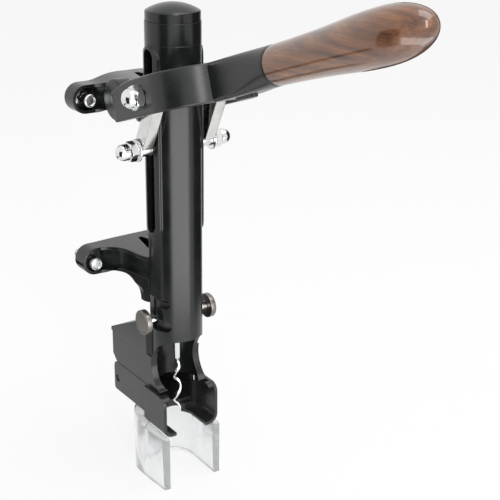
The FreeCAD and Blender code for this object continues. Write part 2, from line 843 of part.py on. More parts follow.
def fulcrum_pin_left():
    outer = hub_inner_x + fulcrum_pin_length_in_hub()
    return cylinder_x(fulcrum_pin_radius, -outer, -fulcrum_pin_inner_x(), fulcrum_y, fulcrum_z)


def fulcrum_washer_left():
    inner = ear_outer_x()
    disc = cylinder_x(fulcrum_washer_radius, -inner - fulcrum_washer_thickness, -inner, fulcrum_y, fulcrum_z)
    return disc.cut(cylinder_x(fulcrum_pin_radius, -cut_reach, 0.0, fulcrum_y, fulcrum_z))


def acorn_nut(flats, hex_height, full_height, bolt_radius, thread_depth):
    """Domed nut standing on its base at the origin, along +Z."""
    corner = flats / 2.0 / math.cos(math.pi / 6)
    body = hexagon(flats, hex_height, (0, 0, 0), (0, 0, 1))
    chamfer = Part.makeCone(corner + 1.2, flats / 2.0 * 0.96, 3.2, vec(0, 0, hex_height - 2.2), vec(0, 0, 1))
    low_trim = Part.makeCone(flats / 2.0 * 0.98, corner + 0.5, 1.4, vec(0, 0, 0), vec(0, 0, 1))
    middle = Part.makeCylinder(corner + 2.0, hex_height - 1.4 - 2.2, vec(0, 0, 1.4))
    envelope = fuse_all(low_trim, middle, chamfer)
    body = body.common(envelope)
    dome_radius = flats / 2.0 * 0.93
    straight = full_height - hex_height - dome_radius
    neck = Part.makeCylinder(dome_radius, straight + 1.0, vec(0, 0, hex_height - 1.0))
    dome = Part.makeSphere(dome_radius, vec(0, 0, hex_height + straight))
    solid = fuse_all(body, neck, dome)
    return solid.cut(Part.makeCylinder(bolt_radius, thread_depth + 1.0, vec(0, 0, -1.0)))


def facing_left(shape, x, y, z, roll=0.0):
    """Stand a turned piece on the plane X = x, pointing to -X, rolled about its own axis."""
    placed = shape.copy()
    placed.rotate(vec(0, 0, 0), vec(0, 0, 1), roll)
    placed.rotate(vec(0, 0, 0), vec(0, 1, 0), -90)
    placed.translate(vec(x, y, z))
    return placed


def arm_stud_left():
    """Stud of the upper link pivot, from the arm's inner face out into its acorn nut."""
    reach = band_outer_x + arm_nut_height * 0.6
    return cylinder_x(link_stud_radius, -reach, -band_inner_x, joint_y, joint_z)


def arm_nut_left():
    nut = acorn_nut(arm_nut_flats, arm_nut_hex_height, arm_nut_height, link_stud_radius, arm_nut_height * 0.6)
    return facing_left(nut, -band_outer_x, joint_y, joint_z, 4.0)


def link_left():
    """Straight link with round eyes, leaning forward from the cross pin to the arm."""
    outer = -link_outer_x
    inner = -link_inner_x
    low = cylinder_x(link_eye_radius, outer, inner, tube_y, cross_pin_z)
    high = cylinder_x(link_half_width, outer, inner, tube_y, cross_pin_z + link_length)
    bar_low = cross_pin_z + link_bar_start
    bar_high = cross_pin_z + link_length
    shank = box(outer, inner, tube_y - link_half_width, tube_y + link_half_width, bar_low, bar_high)
    solid = fuse_all(low, high, shank)
    solid.rotate(vec(0, tube_y, cross_pin_z), vec(1, 0, 0), link_tilt)
    hole = cylinder_x(cross_pin_radius + running_gap, outer - 1.0, inner + 1.0, tube_y, cross_pin_z)
    return solid.cut(hole)


def link_bush_left():
    """Short bush on the link's outer side at the upper pivot."""
    reach = band_inner_x - seat_gap
    return cylinder_x(link_bush_radius, -reach, -link_outer_x, joint_y, joint_z)


def crosshead():
    """Plunger that slides in the tube and carries the cross pin and the spindle."""
    radius = bore_radius - sliding_gap
    z0 = cross_pin_z - crosshead_length / 2.0
    z1 = cross_pin_z + crosshead_length / 2.0
    solid = cylinder_z(radius, z0, z1)
    rims = [e for e in solid.Edges if e.BoundBox.ZLength < 0.001]
    solid = solid.makeChamfer(0.8, rims)
    solid = solid.cut(cylinder_x(cross_pin_radius, -cut_reach, cut_reach, tube_y, cross_pin_z))
    socket_top = cross_pin_z - cross_pin_radius - 1.0
    solid = solid.cut(cylinder_z(crosshead_bore_radius, z0 - 1.0, socket_top))
    relief = cylinder_z(radius - 4.0, cross_pin_z + cross_pin_radius + 3.0, z1 + 1.0)
    return solid.cut(relief)


def cross_pin():
    reach = link_outer_x + cross_washer_thickness + cross_nut_height * 0.6
    return cylinder_x(cross_pin_radius, -reach, reach, tube_y, cross_pin_z)


def cross_sleeve_left():
    """Spacer round the cross pin between the crosshead and the link, inside the slot."""
    outer = link_inner_x - seat_gap
    inner = bore_radius - sliding_gap
    sleeve = cylinder_x(sleeve_radius, -outer, -inner + 1.0, tube_y, cross_pin_z)
    sleeve = sleeve.cut(cylinder_z(inner, cross_pin_z - 20.0, cross_pin_z + 20.0))
    return sleeve.cut(cylinder_x(cross_pin_radius, -cut_reach, 0.0, tube_y, cross_pin_z))


def cross_washer_left():
    x1 = -link_outer_x - seat_gap
    disc = cylinder_x(cross_washer_radius, x1 - cross_washer_thickness, x1, tube_y, cross_pin_z)
    rims = [e for e in disc.Edges if e.BoundBox.XLength < 0.001]
    disc = disc.makeFillet(0.35, rims)
    return disc.cut(cylinder_x(cross_pin_radius, -cut_reach, 0.0, tube_y, cross_pin_z))


def cross_nut_left():
    nut = acorn_nut(cross_nut_flats, cross_nut_hex_height, cross_nut_height, cross_pin_radius, cross_nut_height * 0.6)
    x = -link_outer_x - seat_gap - cross_washer_thickness
    return facing_left(nut, x, tube_y, cross_pin_z, 24.0)


def spindle_socket():
    """Levels of the pieces that hold the spindle in the crosshead, from the top down."""
    top = cross_pin_z - cross_pin_radius - 1.0 - seat_gap
    head_low = top - spindle_head_length
    washer_low = head_low - thrust_washer_thickness - seat_gap / 2.0
    return top, head_low, washer_low


def worm_spindle():
    """Round shaft with a head held in the crosshead."""
    top, head_low, _ = spindle_socket()
    head = cylinder_z(spindle_head_radius, head_low, top)
    shaft = cylinder_z(spindle_radius, height(worm_top_height), head_low + 1.0)
    return fuse_all(head, shaft)


def worm_screw():
    """Open helix of round wire that leaves the shaft's end and narrows to a point."""
    drop = worm_top_height - worm_tip_height
    sections = []
    for step in range(worm_sections + 1):
        fall = drop * step / worm_sections
        lead_in = min(1.0, (fall + 0.12 * worm_pitch) / (worm_pitch * 0.45))
        taper = min(1.0, (drop - fall) / (worm_pitch * 0.5))
        centre, tangent = worm_point(fall, worm_coil_radius * lead_in)
        radius = worm_tip_radius + (worm_wire_radius - worm_tip_radius) * taper ** 0.6
        sections.append(Part.Wire(Part.Circle(centre, tangent, radius).toShape()))
    return Part.makeLoft(sections, True, False)


def worm_point(fall, radius):
    """Centre and direction of the worm's wire at a given fall below its top."""
    turn = -2.0 * math.pi * fall / worm_pitch
    centre = vec(radius * math.cos(turn), tube_y + radius * math.sin(turn), height(worm_top_height) - fall)
    rate = -2.0 * math.pi / worm_pitch * radius
    tangent = vec(-rate * math.sin(turn), rate * math.cos(turn), -1.0)
    return centre, tangent


def thrust_washer():
    _, _, low = spindle_socket()
    disc = cylinder_z(crosshead_bore_radius - seat_gap / 3.0, low, low + thrust_washer_thickness)
    return disc.cut(cylinder_z(spindle_radius + running_gap, low - 1.0, low + 5.0))


def retaining_nut():
    """Ring screwed up into the crosshead under the thrust washer."""
    _, _, washer_low = spindle_socket()
    z1 = washer_low
    z0 = cross_pin_z - crosshead_length / 2.0
    ring = cylinder_z(crosshead_bore_radius, z0, z1)
    return ring.cut(cylinder_z(spindle_radius + running_gap, z0 - 1.0, z1 + 1.0))


def nut_carrier():
    """Sliding barrel behind the windows that holds the drive nut and the latch pins."""
    radius = bore_radius - sliding_gap
    z0 = height(carrier_bottom_height)
    z1 = z0 + carrier_length
    solid = cylinder_z(radius, z0, z1)
    rims = [e for e in solid.Edges if e.BoundBox.ZLength < 0.001]
    solid = solid.makeChamfer(0.8, rims)
    solid = solid.cut(cylinder_z(carrier_bore_radius, z0 - 1.0, z1 + 1.0))
    latch_z = height(latch_height)
    for side in (-1, 1):
        x0, x1 = sorted((side * latch_pin_inner_x, side * cut_reach))
        solid = solid.cut(cylinder_x(latch_pin_radius, x0, x1, tube_y, latch_z))
    return solid


def drive_nut():
    """Brass nut that the worm's shaft runs through."""
    z0 = height(carrier_bottom_height) + (carrier_length - drive_nut_length) / 2.0
    z1 = z0 + drive_nut_length
    ring = cylinder_z(carrier_bore_radius, z0, z1)
    return ring.cut(cylinder_z(spindle_radius + drive_nut_gap, z0 - 1.0, z1 + 1.0))


def latch_pin_left():
    reach = knob_outer_x - knob_thickness * 0.3
    return cylinder_x(latch_pin_radius, -reach, -latch_pin_inner_x, tube_y, height(latch_height))


def latch_knob_left():
    """Flat disc knob with rounded rims, on the latch pin's end."""
    z = height(latch_height)
    disc = cylinder_x(knob_radius, -knob_outer_x, -knob_outer_x + knob_thickness, tube_y, z)
    rims = [e for e in disc.Edges if e.BoundBox.XLength < 0.001]
    disc = disc.makeFillet(knob_edge_round, rims)
    return disc.cut(cylinder_x(latch_pin_radius, -knob_outer_x + knob_thickness * 0.3, 0.0, tube_y, z))


def coil(radius, wire_radius, z0, z1, turns):
    """Round wire wound into a cylindrical coil along +Z between two levels, joined from half turns."""
    pitch = (z1 - z0 - 2.0 * wire_radius) / turns
    helix = Part.makeHelix(pitch, pitch / 2.0, radius)
    section = Part.Wire(Part.Circle(vec(radius, 0, 0), vec(0, 1, 0), wire_radius).toShape())
    half_turn = Part.Wire(helix).makePipeShell([section], True, True)
    halves = []
    for step in range(2 * turns):
        half = half_turn.copy()
        half.rotate(vec(0, 0, 0), vec(0, 0, 1), 180.0 * step)
        half.translate(vec(0, 0, z0 + wire_radius + step * pitch / 2.0))
        halves.append(half)
    return halves[0].fuse(halves[1:])


def carrier_spring():
    """Light spring that keeps the carrier down."""
    z0 = height(carrier_bottom_height) + carrier_length + seat_gap
    z1 = height(spring_seat_height) - seat_gap
    radius = bore_radius - sliding_gap - spring_wire_radius - 1.2
    spring = coil(radius, spring_wire_radius, z0, z1, spring_turns)
    spring.translate(vec(0, tube_y, 0))
    return spring


def spring_seat_ring():
    z0 = height(spring_seat_height)
    ring = cylinder_z(bore_radius, z0, z0 + spring_seat_thickness)
    return ring.cut(cylinder_z(spring_seat_bore, z0 - 1.0, z0 + spring_seat_thickness + 1.0))


def guide_bush():
    """Bush that closes the tube under the carrier and is its lower stop."""
    z1 = height(carrier_bottom_height) - seat_gap
    z0 = z1 - guide_bush_height
    ring = cylinder_z(bore_radius, z0, z1)
    ring = ring.cut(cylinder_z(guide_bush_bore, z0 - 1.0, z1 + 1.0))
    return ring.cut(front_arch())


def clamp_frame():
    """Box under the housing, open at the front and top, that turns on the rear pin."""
    z0 = height(clamp_bottom_height)
    z1 = height(housing_bottom_height) - clamp_gap
    side = clamp_half_width
    rear = depth(clamp_rear_depth)
    front = depth(clamp_front_depth)
    shell = box(-side, side, front, rear, z0, z1)
    for radius, level in ((clamp_corner, z1), (clamp_rear_round, z0)):
        corner = [e for e in shell.Edges if is_line_at(e, rear, level)]
        shell = shell.makeFillet(radius, corner)
    half = clamp_inner_half()
    shell = shell.cut(box(-half, half, front - 1.0, rear - clamp_wall, z0 + clamp_wall, z1 + 1.0))
    pin_y = depth(clamp_pin_depth)
    pin_z = height(clamp_pin_height)
    lug_half = clamp_lug_half_width + side_gap
    lug_low = pin_z - clamp_lug_radius - side_gap
    shell = shell.cut(box(-lug_half, lug_half, rear - clamp_wall - 1.0, rear + 1.0, lug_low, z1 + 1.0))
    shell = shell.cut(cylinder_x(clamp_pin_radius + running_gap, -cut_reach, cut_reach, pin_y, pin_z))
    return shell.cut(neck_throat())


def is_line_at(edge, y, z):
    """Whether an edge runs along X at the given Y and Z."""
    bounds = edge.BoundBox
    return max(abs(bounds.YMin - y), abs(bounds.YMax - y), abs(bounds.ZMin - z), abs(bounds.ZMax - z)) < 0.001


def clamp_inner_half():
    """Half width between the clamp box walls."""
    return clamp_half_width - clamp_wall


def neck_throat():
    """Space of the bottle's neck, open to the front, through the fork and the clamp's floor."""
    z0 = height(jaw_bottom_height) - 1.0
    z1 = height(jaw_top_height)
    front = depth(-jaw_front) - 1.0
    round_part = cylinder_z(fork_radius, z0, z1)
    return fuse_all(round_part, box(-fork_radius, fork_radius, front, tube_y, z0, z1))


def clamp_lug():
    """Lug that hangs from the housing's cavity and carries the clamp pin between the clamp walls."""
    pin_y = depth(clamp_pin_depth)
    pin_z = height(clamp_pin_height)
    half = clamp_lug_half_width
    radius = clamp_lug_radius
    z1 = height(housing_cavity_height)
    plate = box(-half, half, pin_y - radius, pin_y + 2.5, pin_z, z1)
    lug = fuse_all(plate, cylinder_x(radius, -half, half, pin_y, pin_z))
    inner = half - clamp_lug_thickness
    lug = lug.cut(box(-inner, inner, pin_y - 2.0 * radius, 0.0, pin_z - 2.0 * radius, pin_z + 2.0 * radius))
    return lug.cut(cylinder_x(clamp_pin_radius, -cut_reach, cut_reach, pin_y, pin_z))


def clamp_pivot_pin():
    reach = clamp_half_width - 0.8
    return cylinder_x(clamp_pin_radius, -reach, reach, depth(clamp_pin_depth), height(clamp_pin_height))


def clamp_spring():
    """Torsion spring wound round the clamp pin between the lugs."""
    half = clamp_lug_half_width - clamp_lug_thickness - seat_gap
    radius = clamp_pin_radius + side_gap + clamp_spring_wire
    spring = coil(radius, clamp_spring_wire, -half, half, clamp_spring_turns)
    spring.rotate(vec(0, 0, 0), vec(0, 1, 0), 90)
    spring.translate(vec(0, depth(clamp_pin_depth), height(clamp_pin_height)))
    return spring


def jaw_block(half, radius, y0, y1, z0, z1):
    """Block with round lower edges along Y."""
    block = box(-half, half, y0, y1, z0, z1)
    low = [e for e in block.Edges if e.BoundBox.XLength < 0.001 and e.BoundBox.ZLength < 0.001]
    low = [e for e in low if abs(e.BoundBox.ZMin - z0) < 0.001]
    return block.makeFillet(radius, low)


def neck_jaw():
    """Formed sheet: side plates round the clamp's mouth, a web with a U fork, and a tail under the box."""
    z0 = height(jaw_bottom_height)
    z1 = height(jaw_top_height)
    front = depth(-jaw_front)
    rear = depth(clamp_front_depth) - seat_gap
    outer = jaw_outer_x
    inner = outer - jaw_wall
    half = clamp_inner_half()
    sheet = jaw_block(outer, jaw_bend_radius, front, rear, z0, z1)
    hollow = jaw_block(inner, jaw_bend_radius - jaw_wall, front - 1.0, rear + 1.0, z0 + jaw_wall, z1 + 1.0)
    lip = box(-outer, -inner + jaw_curl, front, front + jaw_curl_depth, z1 - jaw_wall, z1)
    returned = box(-inner, -half, rear - jaw_wall, rear, z0, z0 + jaw_return_height)
    tail_top = height(clamp_bottom_height) - jaw_tail_gap
    riser = box(-half, half, rear - jaw_wall, rear, z0, tail_top)
    ends = fuse_all(riser, returned, mirrored(returned)).common(sheet)
    tail = box(-half, half, rear - jaw_wall, depth(jaw_tail_depth), tail_top - jaw_wall, tail_top)
    solid = fuse_all(sheet.cut(hollow), lip, mirrored(lip), ends, tail)
    return solid.cut(neck_throat()).cut(jaw_corner()).cut(screw_holes())


def jaw_corner():
    """Cutter that rounds the top front corner of both side plates."""
    y = depth(-jaw_front)
    z = height(jaw_top_height)
    radius = jaw_corner_radius
    block = box(-cut_reach, cut_reach, y - 1.0, y + radius, z - radius, z + 1.0)
    return block.cut(cylinder_x(radius, -cut_reach, cut_reach, y + radius, z - radius))


def guard_body(half_width, front_half, centre_depth, y_front, z0, z1):
    """U-shaped block in plan: flanks that draw in to the front and a half-round rear."""
    centre = depth(centre_depth)
    taper_y = depth(guard_taper_start)
    flanks = prism(
        [
            (-half_width, centre, z0),
            (-half_width, taper_y, z0),
            (-front_half, y_front, z0),
            (front_half, y_front, z0),
            (half_width, taper_y, z0),
            (half_width, centre, z0),
        ],
        (0, 0, z1 - z0),
    )
    return fuse_all(cylinder_z(half_width, z0, z1, 0.0, centre), flanks)


def bottle_guard():
    """Clear U-shaped skirt, open at the front, screwed up under the jaw's tail."""
    top = height(clamp_bottom_height) - clamp_gap
    web_under = height(jaw_bottom_height) - seat_gap
    z0 = height(0.0)
    front = depth(-guard_front)
    inner = guard_inner_half
    solid = guard_body(guard_outer_half, guard_front_half, guard_outer_centre, front, z0, top)
    solid = solid.cut(guard_body(inner, inner, guard_inner_centre, front - 1.0, z0 - 1.0, top + 1.0))
    rear = depth(clamp_front_depth)
    solid = solid.cut(box(-cut_reach, cut_reach, front - 1.0, rear, web_under, top + 1.0))
    half = clamp_inner_half() + side_gap
    solid = solid.cut(box(-half, half, rear - 1.0, 0.0, jaw_tail_under() - seat_gap, top + 1.0))
    return solid.cut(screw_holes())


def jaw_tail_under():
    """Level of the underside of the jaw's tail."""
    return height(clamp_bottom_height) - jaw_tail_gap - jaw_wall


def screw_holes():
    """Countersunk holes of the guard screws through the jaw's tail and into the guard."""
    return Part.makeCompound([screw_form(x, y) for x, y in guard_screw_places()])


def screw_form(x, y):
    """Screw with a countersunk head flush with the top of the jaw's tail."""
    top = jaw_tail_under() + jaw_wall
    head_height = guard_screw_head_radius - guard_screw_radius
    head = Part.makeCone(guard_screw_radius, guard_screw_head_radius, head_height, vec(x, y, top - head_height))
    return fuse_all(head, cylinder_z(guard_screw_radius, top - guard_screw_length, top - head_height, x, y))


def guard_screw(x, y):
    """Countersunk screw with a slot."""
    top = jaw_tail_under() + jaw_wall
    slot = box(x - 0.4, x + 0.4, y - 5.0, y + 5.0, top - 0.8, top + 1.0)
    return screw_form(x, y).cut(slot)


def guard_screw_places():
    """Screw centres behind the neck, left and right."""
    return [(side * guard_screw_x, depth(guard_screw_depth)) for side in (-1, 1)]


def wall_stud(x, z):
    """Stud that stands out behind the pad, with a thinner shank from there to the lock nut's collar."""
    front = -pad_floor - wall_washer_thickness - lock_nut_hex_height - lock_nut_collar_height + 1.2
    shank = cylinder_y(stud_shank_radius, front, stud_step, x, z)
    return fuse_all(shank, cylinder_y(stud_radius, stud_step, stud_out_length, x, z))


def wall_washer(x, z):
    disc = cylinder_y(wall_washer_radius, -pad_floor - wall_washer_thickness, -pad_floor, x, z)
    return disc.cut(cylinder_y(stud_shank_radius, -cut_reach, 1.0, x, z))


def wall_lock_nut(x, z):
    """Hexagon with a tall round locking collar in front."""
    seat = -pad_floor - wall_washer_thickness
    nut = hexagon(lock_nut_flats, lock_nut_hex_height, (0, 0, 0), (0, 0, 1))
    nut.rotate(vec(0, 0, 0), vec(0, 0, 1), 18.0)
    collar = Part.makeCylinder(lock_nut_collar_radius - 0.3, lock_nut_collar_height, vec(0, 0, lock_nut_hex_height))
    rim = [e for e in collar.Edges if abs(e.BoundBox.ZMin - lock_nut_hex_height - lock_nut_collar_height) < 0.001]
    collar = collar.makeFillet(0.9, rim)
    solid = fuse_all(nut, collar)
    solid.rotate(vec(0, 0, 0), vec(1, 0, 0), 90)
    solid.translate(vec(x, seat, z))
    return solid.cut(cylinder_y(stud_shank_radius, -cut_reach, 1.0, x, z))


def stud_places():
    """Stud centres in X and Z, upper row first."""
    half_x = stud_spacing / 2.0
    half_z = stud_row_spacing / 2.0
    return [(x, z) for z in (half_z, -half_z) for x in (-half_x, half_x)]


def all_parts():
    """Every node's name with its shape."""
    places = stud_places()
    return {
        "body_casting": body_casting(),
        "head_collar": head_collar(),
        "top_cap": top_cap(),
        "lever_yoke": lever_yoke(),
        "handle_grip": handle_grip(),
        "handle_tang": handle_tang(),
        "fulcrum_pins": both_sides(fulcrum_pin_left()),
        "fulcrum_washers": both_sides(fulcrum_washer_left()),
        "arm_pivot_studs": both_sides(arm_stud_left()),
        "arm_acorn_nuts": both_sides(arm_nut_left()),
        "link_left": link_left(),
        "link_right": mirrored(link_left()),
        "link_bushes": both_sides(link_bush_left()),
        "crosshead": crosshead(),
        "cross_pin": cross_pin(),
        "cross_pin_sleeves": both_sides(cross_sleeve_left()),
        "cross_pin_washers": both_sides(cross_washer_left()),
        "cross_pin_acorn_nuts": both_sides(cross_nut_left()),
        "worm_spindle": worm_spindle(),
        "worm_screw": worm_screw(),
        "spindle_thrust_washer": thrust_washer(),
        "spindle_retaining_nut": retaining_nut(),
        "nut_carrier": nut_carrier(),
        "drive_nut": drive_nut(),
        "latch_pins": both_sides(latch_pin_left()),
        "latch_knob_left": latch_knob_left(),
        "latch_knob_right": mirrored(latch_knob_left()),
        "carrier_spring": carrier_spring(),
        "spring_seat_ring": spring_seat_ring(),
        "guide_bush": guide_bush(),
        "clamp_frame": clamp_frame(),
        "clamp_pivot_pin": clamp_pivot_pin(),
        "clamp_spring": clamp_spring(),
        "neck_jaw": neck_jaw(),
        "bottle_guard": bottle_guard(),
        "guard_screws": Part.makeCompound([guard_screw(x, y) for x, y in guard_screw_places()]),
        "wall_studs": Part.makeCompound([wall_stud(x, z) for x, z in places]),
        "wall_washers": Part.makeCompound([wall_washer(x, z) for x, z in places]),
        "wall_lock_nuts": Part.makeCompound([wall_lock_nut(x, z) for x, z in places]),
    }


def main():
    os.makedirs("parts", exist_ok=True)
    for name, shape in all_parts().items():
        solids = shape.Solids
        volume = sum(solid.Volume for solid in solids)
        print(name, "solids", len(solids), "volume", round(volume, 1), "valid", shape.isValid())
        if len(solids) == 1:
            shape = solids[0]
        shape.exportStep("parts/" + name + ".step")


main()
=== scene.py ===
"""Looks of a lever corkscrew for a wall board: casting, forked lever, links, worm, clamp and guard."""
import json
import logging
import math
from dataclasses import dataclass, field
from enum import Enum

import bmesh
import bpy
import numpy as np
from mathutils import Matrix, Vector

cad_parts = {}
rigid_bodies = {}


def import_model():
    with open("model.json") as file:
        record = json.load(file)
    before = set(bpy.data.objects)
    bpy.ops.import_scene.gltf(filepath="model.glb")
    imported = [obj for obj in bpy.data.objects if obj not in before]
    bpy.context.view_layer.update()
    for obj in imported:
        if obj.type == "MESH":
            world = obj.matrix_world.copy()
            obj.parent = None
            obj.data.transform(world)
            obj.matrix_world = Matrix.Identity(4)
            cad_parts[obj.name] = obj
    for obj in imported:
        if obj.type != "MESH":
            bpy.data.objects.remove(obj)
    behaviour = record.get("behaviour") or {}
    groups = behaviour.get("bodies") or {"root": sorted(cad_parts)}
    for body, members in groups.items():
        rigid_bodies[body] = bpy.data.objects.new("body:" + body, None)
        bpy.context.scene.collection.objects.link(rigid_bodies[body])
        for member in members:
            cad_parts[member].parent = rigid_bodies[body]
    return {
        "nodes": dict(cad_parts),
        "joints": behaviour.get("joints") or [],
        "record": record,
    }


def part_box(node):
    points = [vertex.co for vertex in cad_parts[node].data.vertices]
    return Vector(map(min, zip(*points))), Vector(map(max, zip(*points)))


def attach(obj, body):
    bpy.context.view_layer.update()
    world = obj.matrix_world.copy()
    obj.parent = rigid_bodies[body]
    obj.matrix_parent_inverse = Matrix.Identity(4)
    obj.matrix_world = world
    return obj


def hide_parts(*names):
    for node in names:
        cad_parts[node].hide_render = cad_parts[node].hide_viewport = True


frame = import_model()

LOG = logging.getLogger("corkscrew")
MM = 0.001
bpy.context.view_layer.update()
Point = tuple[float, float, float]
Socket = bpy.types.NodeSocket
Table = tuple[tuple[float, float], ...]


class Body(Enum):
    """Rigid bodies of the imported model."""

    BASE = "base"
    LEVER = "lever"
    CROSSHEAD = "crosshead_group"
    WORM = "worm"
    LINKS = "links"
    LATCH = "latch"
    CLAMP = "clamp"


class Side(Enum):
    """Left and right of the plane X = 0, as the sign of X."""

    LEFT = -1.0
    RIGHT = 1.0


# Shared measures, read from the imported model


def joint_place(name: str) -> np.ndarray:
    """Place of a hinge in the row frame.

    Args:
        name: the joint's name.

    Returns:
        The hinge's point as an array of three metres.
    """
    joint = next(j for j in frame["joints"] if j["name"] == name)
    return np.array(joint["pos_m"], dtype=float)


def node_box(node: str) -> tuple[np.ndarray, np.ndarray]:
    """Lowest and highest corners of a CAD node at rest.

    Args:
        node: the node's name.

    Returns:
        Both corners as arrays.
    """
    low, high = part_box(node)
    return np.array(low[:]), np.array(high[:])


FULCRUM = joint_place("lever_hinge")
CROSS_PIN = joint_place("link_swing")
CLAMP_PIN = joint_place("clamp_hinge")
TUBE_Y = float(CROSS_PIN[1])
FOOT_Z = float(node_box("bottle_guard")[0][2])
CAMERA_AZIMUTH = -36.12
LEVER_PITCH = math.radians(18.3)
LEVER_FORWARD = np.array([0.0, -math.cos(LEVER_PITCH), math.sin(LEVER_PITCH)])
LEVER_UP = np.array([0.0, math.sin(LEVER_PITCH), math.cos(LEVER_PITCH)])
ACROSS = np.array([1.0, 0.0, 0.0])


def lever_points(x: np.ndarray, u: np.ndarray, v: np.ndarray) -> np.ndarray:
    """Points of the lever: x across, u forward from the fulcrum and v up across the lever.

    Args:
        x: metres to the right.
        u: metres forward along the pitched lever.
        v: metres upward, square to the lever.

    Returns:
        Row frame points, one more axis than the inputs.
    """
    x, u, v = np.broadcast_arrays(x, u, v)
    return FULCRUM + x[..., None] * ACROSS + u[..., None] * LEVER_FORWARD + v[..., None] * LEVER_UP


# Surfaces


def grid_faces(rows: int, columns: int, closed: bool) -> np.ndarray:
    """Quads of a grid of points, row by row.

    Args:
        rows: number of rows.
        columns: number of points in a row.
        closed: whether each row's last point joins its first.

    Returns:
        Quads as rows of four point numbers.
    """
    i, j = np.meshgrid(np.arange(rows - 1), np.arange(columns if closed else columns - 1), indexing="ij")
    k = (j + 1) % columns
    quads = np.stack([i * columns + j, i * columns + k, (i + 1) * columns + k, (i + 1) * columns + j], axis=-1)
    return quads.reshape(-1, 4)


@dataclass
class Shell:
    """Points and faces gathered from one or more grids, ready to become one piece."""

    points: list[np.ndarray] = field(default_factory=list)
    faces: list[list[int]] = field(default_factory=list)
    count: int = 0

    def grid(self, points: np.ndarray, closed: bool = True, cap: bool = True) -> "Shell":
        """Add a grid whose rows are rings or open runs.

        Args:
            points: array of rows, columns and three coordinates.
            closed: whether each row is a ring.
            cap: whether the first and last rings are closed by a flat face.

        Returns:
            The same shell.
        """
        rows, columns = points.shape[:2]
        self.points.append(points.reshape(-1, 3))
        self.faces += (grid_faces(rows, columns, closed) + self.count).tolist()
        if cap and closed:
            first = np.arange(columns)[::-1] + self.count
            last = np.arange(columns) + (rows - 1) * columns + self.count
            self.faces += [first.tolist(), last.tolist()]
        self.count += rows * columns
        return self

    def piece(self, name: str, crease: float = 35.0) -> bpy.types.Object:
        """Make the piece: doubles merged, faces outward, smooth up to a crease angle.

        Args:
            name: the piece's name.
            crease: angle in degrees above which an edge stays sharp.

        Returns:
            The new object, at the origin.
        """
        mesh = bpy.data.meshes.new(name)
        mesh.from_pydata(np.concatenate(self.points), [], self.faces)
        obj = linked(name, mesh)
        weld(obj)
        mesh.shade_smooth()
        mesh.set_sharp_from_angle(angle=math.radians(crease))
        return obj


def linked(name: str, data: bpy.types.ID) -> bpy.types.Object:
    """New object that holds the data, in the scene's collection."""
    obj = bpy.data.objects.new(name, data)
    bpy.context.collection.objects.link(obj)
    return obj


def weld(obj: bpy.types.Object, distance: float = 2e-6) -> None:
    """Merge doubled points, drop empty faces and turn all faces outward.

    Args:
        obj: the object to clean.
        distance: points nearer than this become one.
    """
    work = bmesh.new()
    work.from_mesh(obj.data)
    bmesh.ops.remove_doubles(work, verts=work.verts, dist=distance)
    bmesh.ops.dissolve_degenerate(work, edges=work.edges, dist=distance * 0.5)
    bmesh.ops.recalc_face_normals(work, faces=work.faces)
    work.to_mesh(obj.data)
    work.free()


def frame_of(axis: np.ndarray) -> tuple[np.ndarray, np.ndarray, np.ndarray]:
    """Two directions square to an axis, and the axis.

    Args:
        axis: a direction.

    Returns:
        First, second and axis, each of length one.
    """
    axis = np.asarray(axis, dtype=float) / np.linalg.norm(axis)
    guide = np.array([0.0, 0.0, 1.0]) if abs(axis[2]) < 0.9 else ACROSS
    first = np.cross(guide, axis)
    first /= np.linalg.norm(first)
    return first, np.cross(axis, first), axis


def lathe(profile: np.ndarray, base: np.ndarray, axis: np.ndarray, segments: int = 72) -> np.ndarray:
    """Surface of revolution: each profile point's radius turned round the axis, at its distance along it.

    Args:
        profile: rows of radius and distance along the axis.
        base: the axis's start.
        axis: its direction.
        segments: points in each ring.

    Returns:
        Grid of rings.
    """
    first, second, along = frame_of(axis)
    turn = np.linspace(0.0, 2.0 * np.pi, segments, endpoint=False)
    ring = np.cos(turn)[:, None] * first + np.sin(turn)[:, None] * second
    profile = np.asarray(profile, dtype=float)
    return base + profile[:, None, :1] * ring[None] + profile[:, None, 1:] * along


def rounded_profile(corners: list[tuple[float, float, float]], steps: int = 5) -> np.ndarray:
    """Run of points with each corner replaced by an arc that is tangent to both its sides.

    Args:
        corners: rows of first value, second value and corner radius.
        steps: points in each arc, less one.

    Returns:
        Rows of two values.
    """
    data = np.array([c[:2] for c in corners], dtype=float)
    radii = [c[2] for c in corners]
    run: list[np.ndarray] = []
    for i, radius in enumerate(radii):
        if radius <= 0.0 or i in (0, len(radii) - 1):
            run.append(data[i][None])
            continue
        run.append(corner_arc(data[i - 1], data[i], data[i + 1], radius, steps))
    return np.concatenate(run)


def corner_arc(
    before: np.ndarray, corner: np.ndarray, after: np.ndarray, radius: float, steps: int
) -> np.ndarray:
    """Arc of the given radius inside a corner, tangent to its two sides.

    Args:
        before: the point before the corner.
        corner: the corner.
        after: the point after it.
        radius: the arc's radius.
        steps: points in the arc, less one.

    Returns:
        Rows of two values from the first tangent point to the second.
    """
    a = (before - corner) / np.linalg.norm(before - corner)
    b = (after - corner) / np.linalg.norm(after - corner)
    half = math.acos(float(np.clip(a @ b, -1.0, 1.0))) / 2.0
    reach = radius / math.tan(half)
    centre = corner + (a + b) / np.linalg.norm(a + b) * radius / math.sin(half)
    start, end = corner + a * reach - centre, corner + b * reach - centre
    share = np.linspace(0.0, 1.0, steps + 1)[:, None]
    swing = math.pi - 2.0 * half
    return centre + (np.sin((1.0 - share) * swing) * start + np.sin(share * swing) * end) / math.sin(swing)


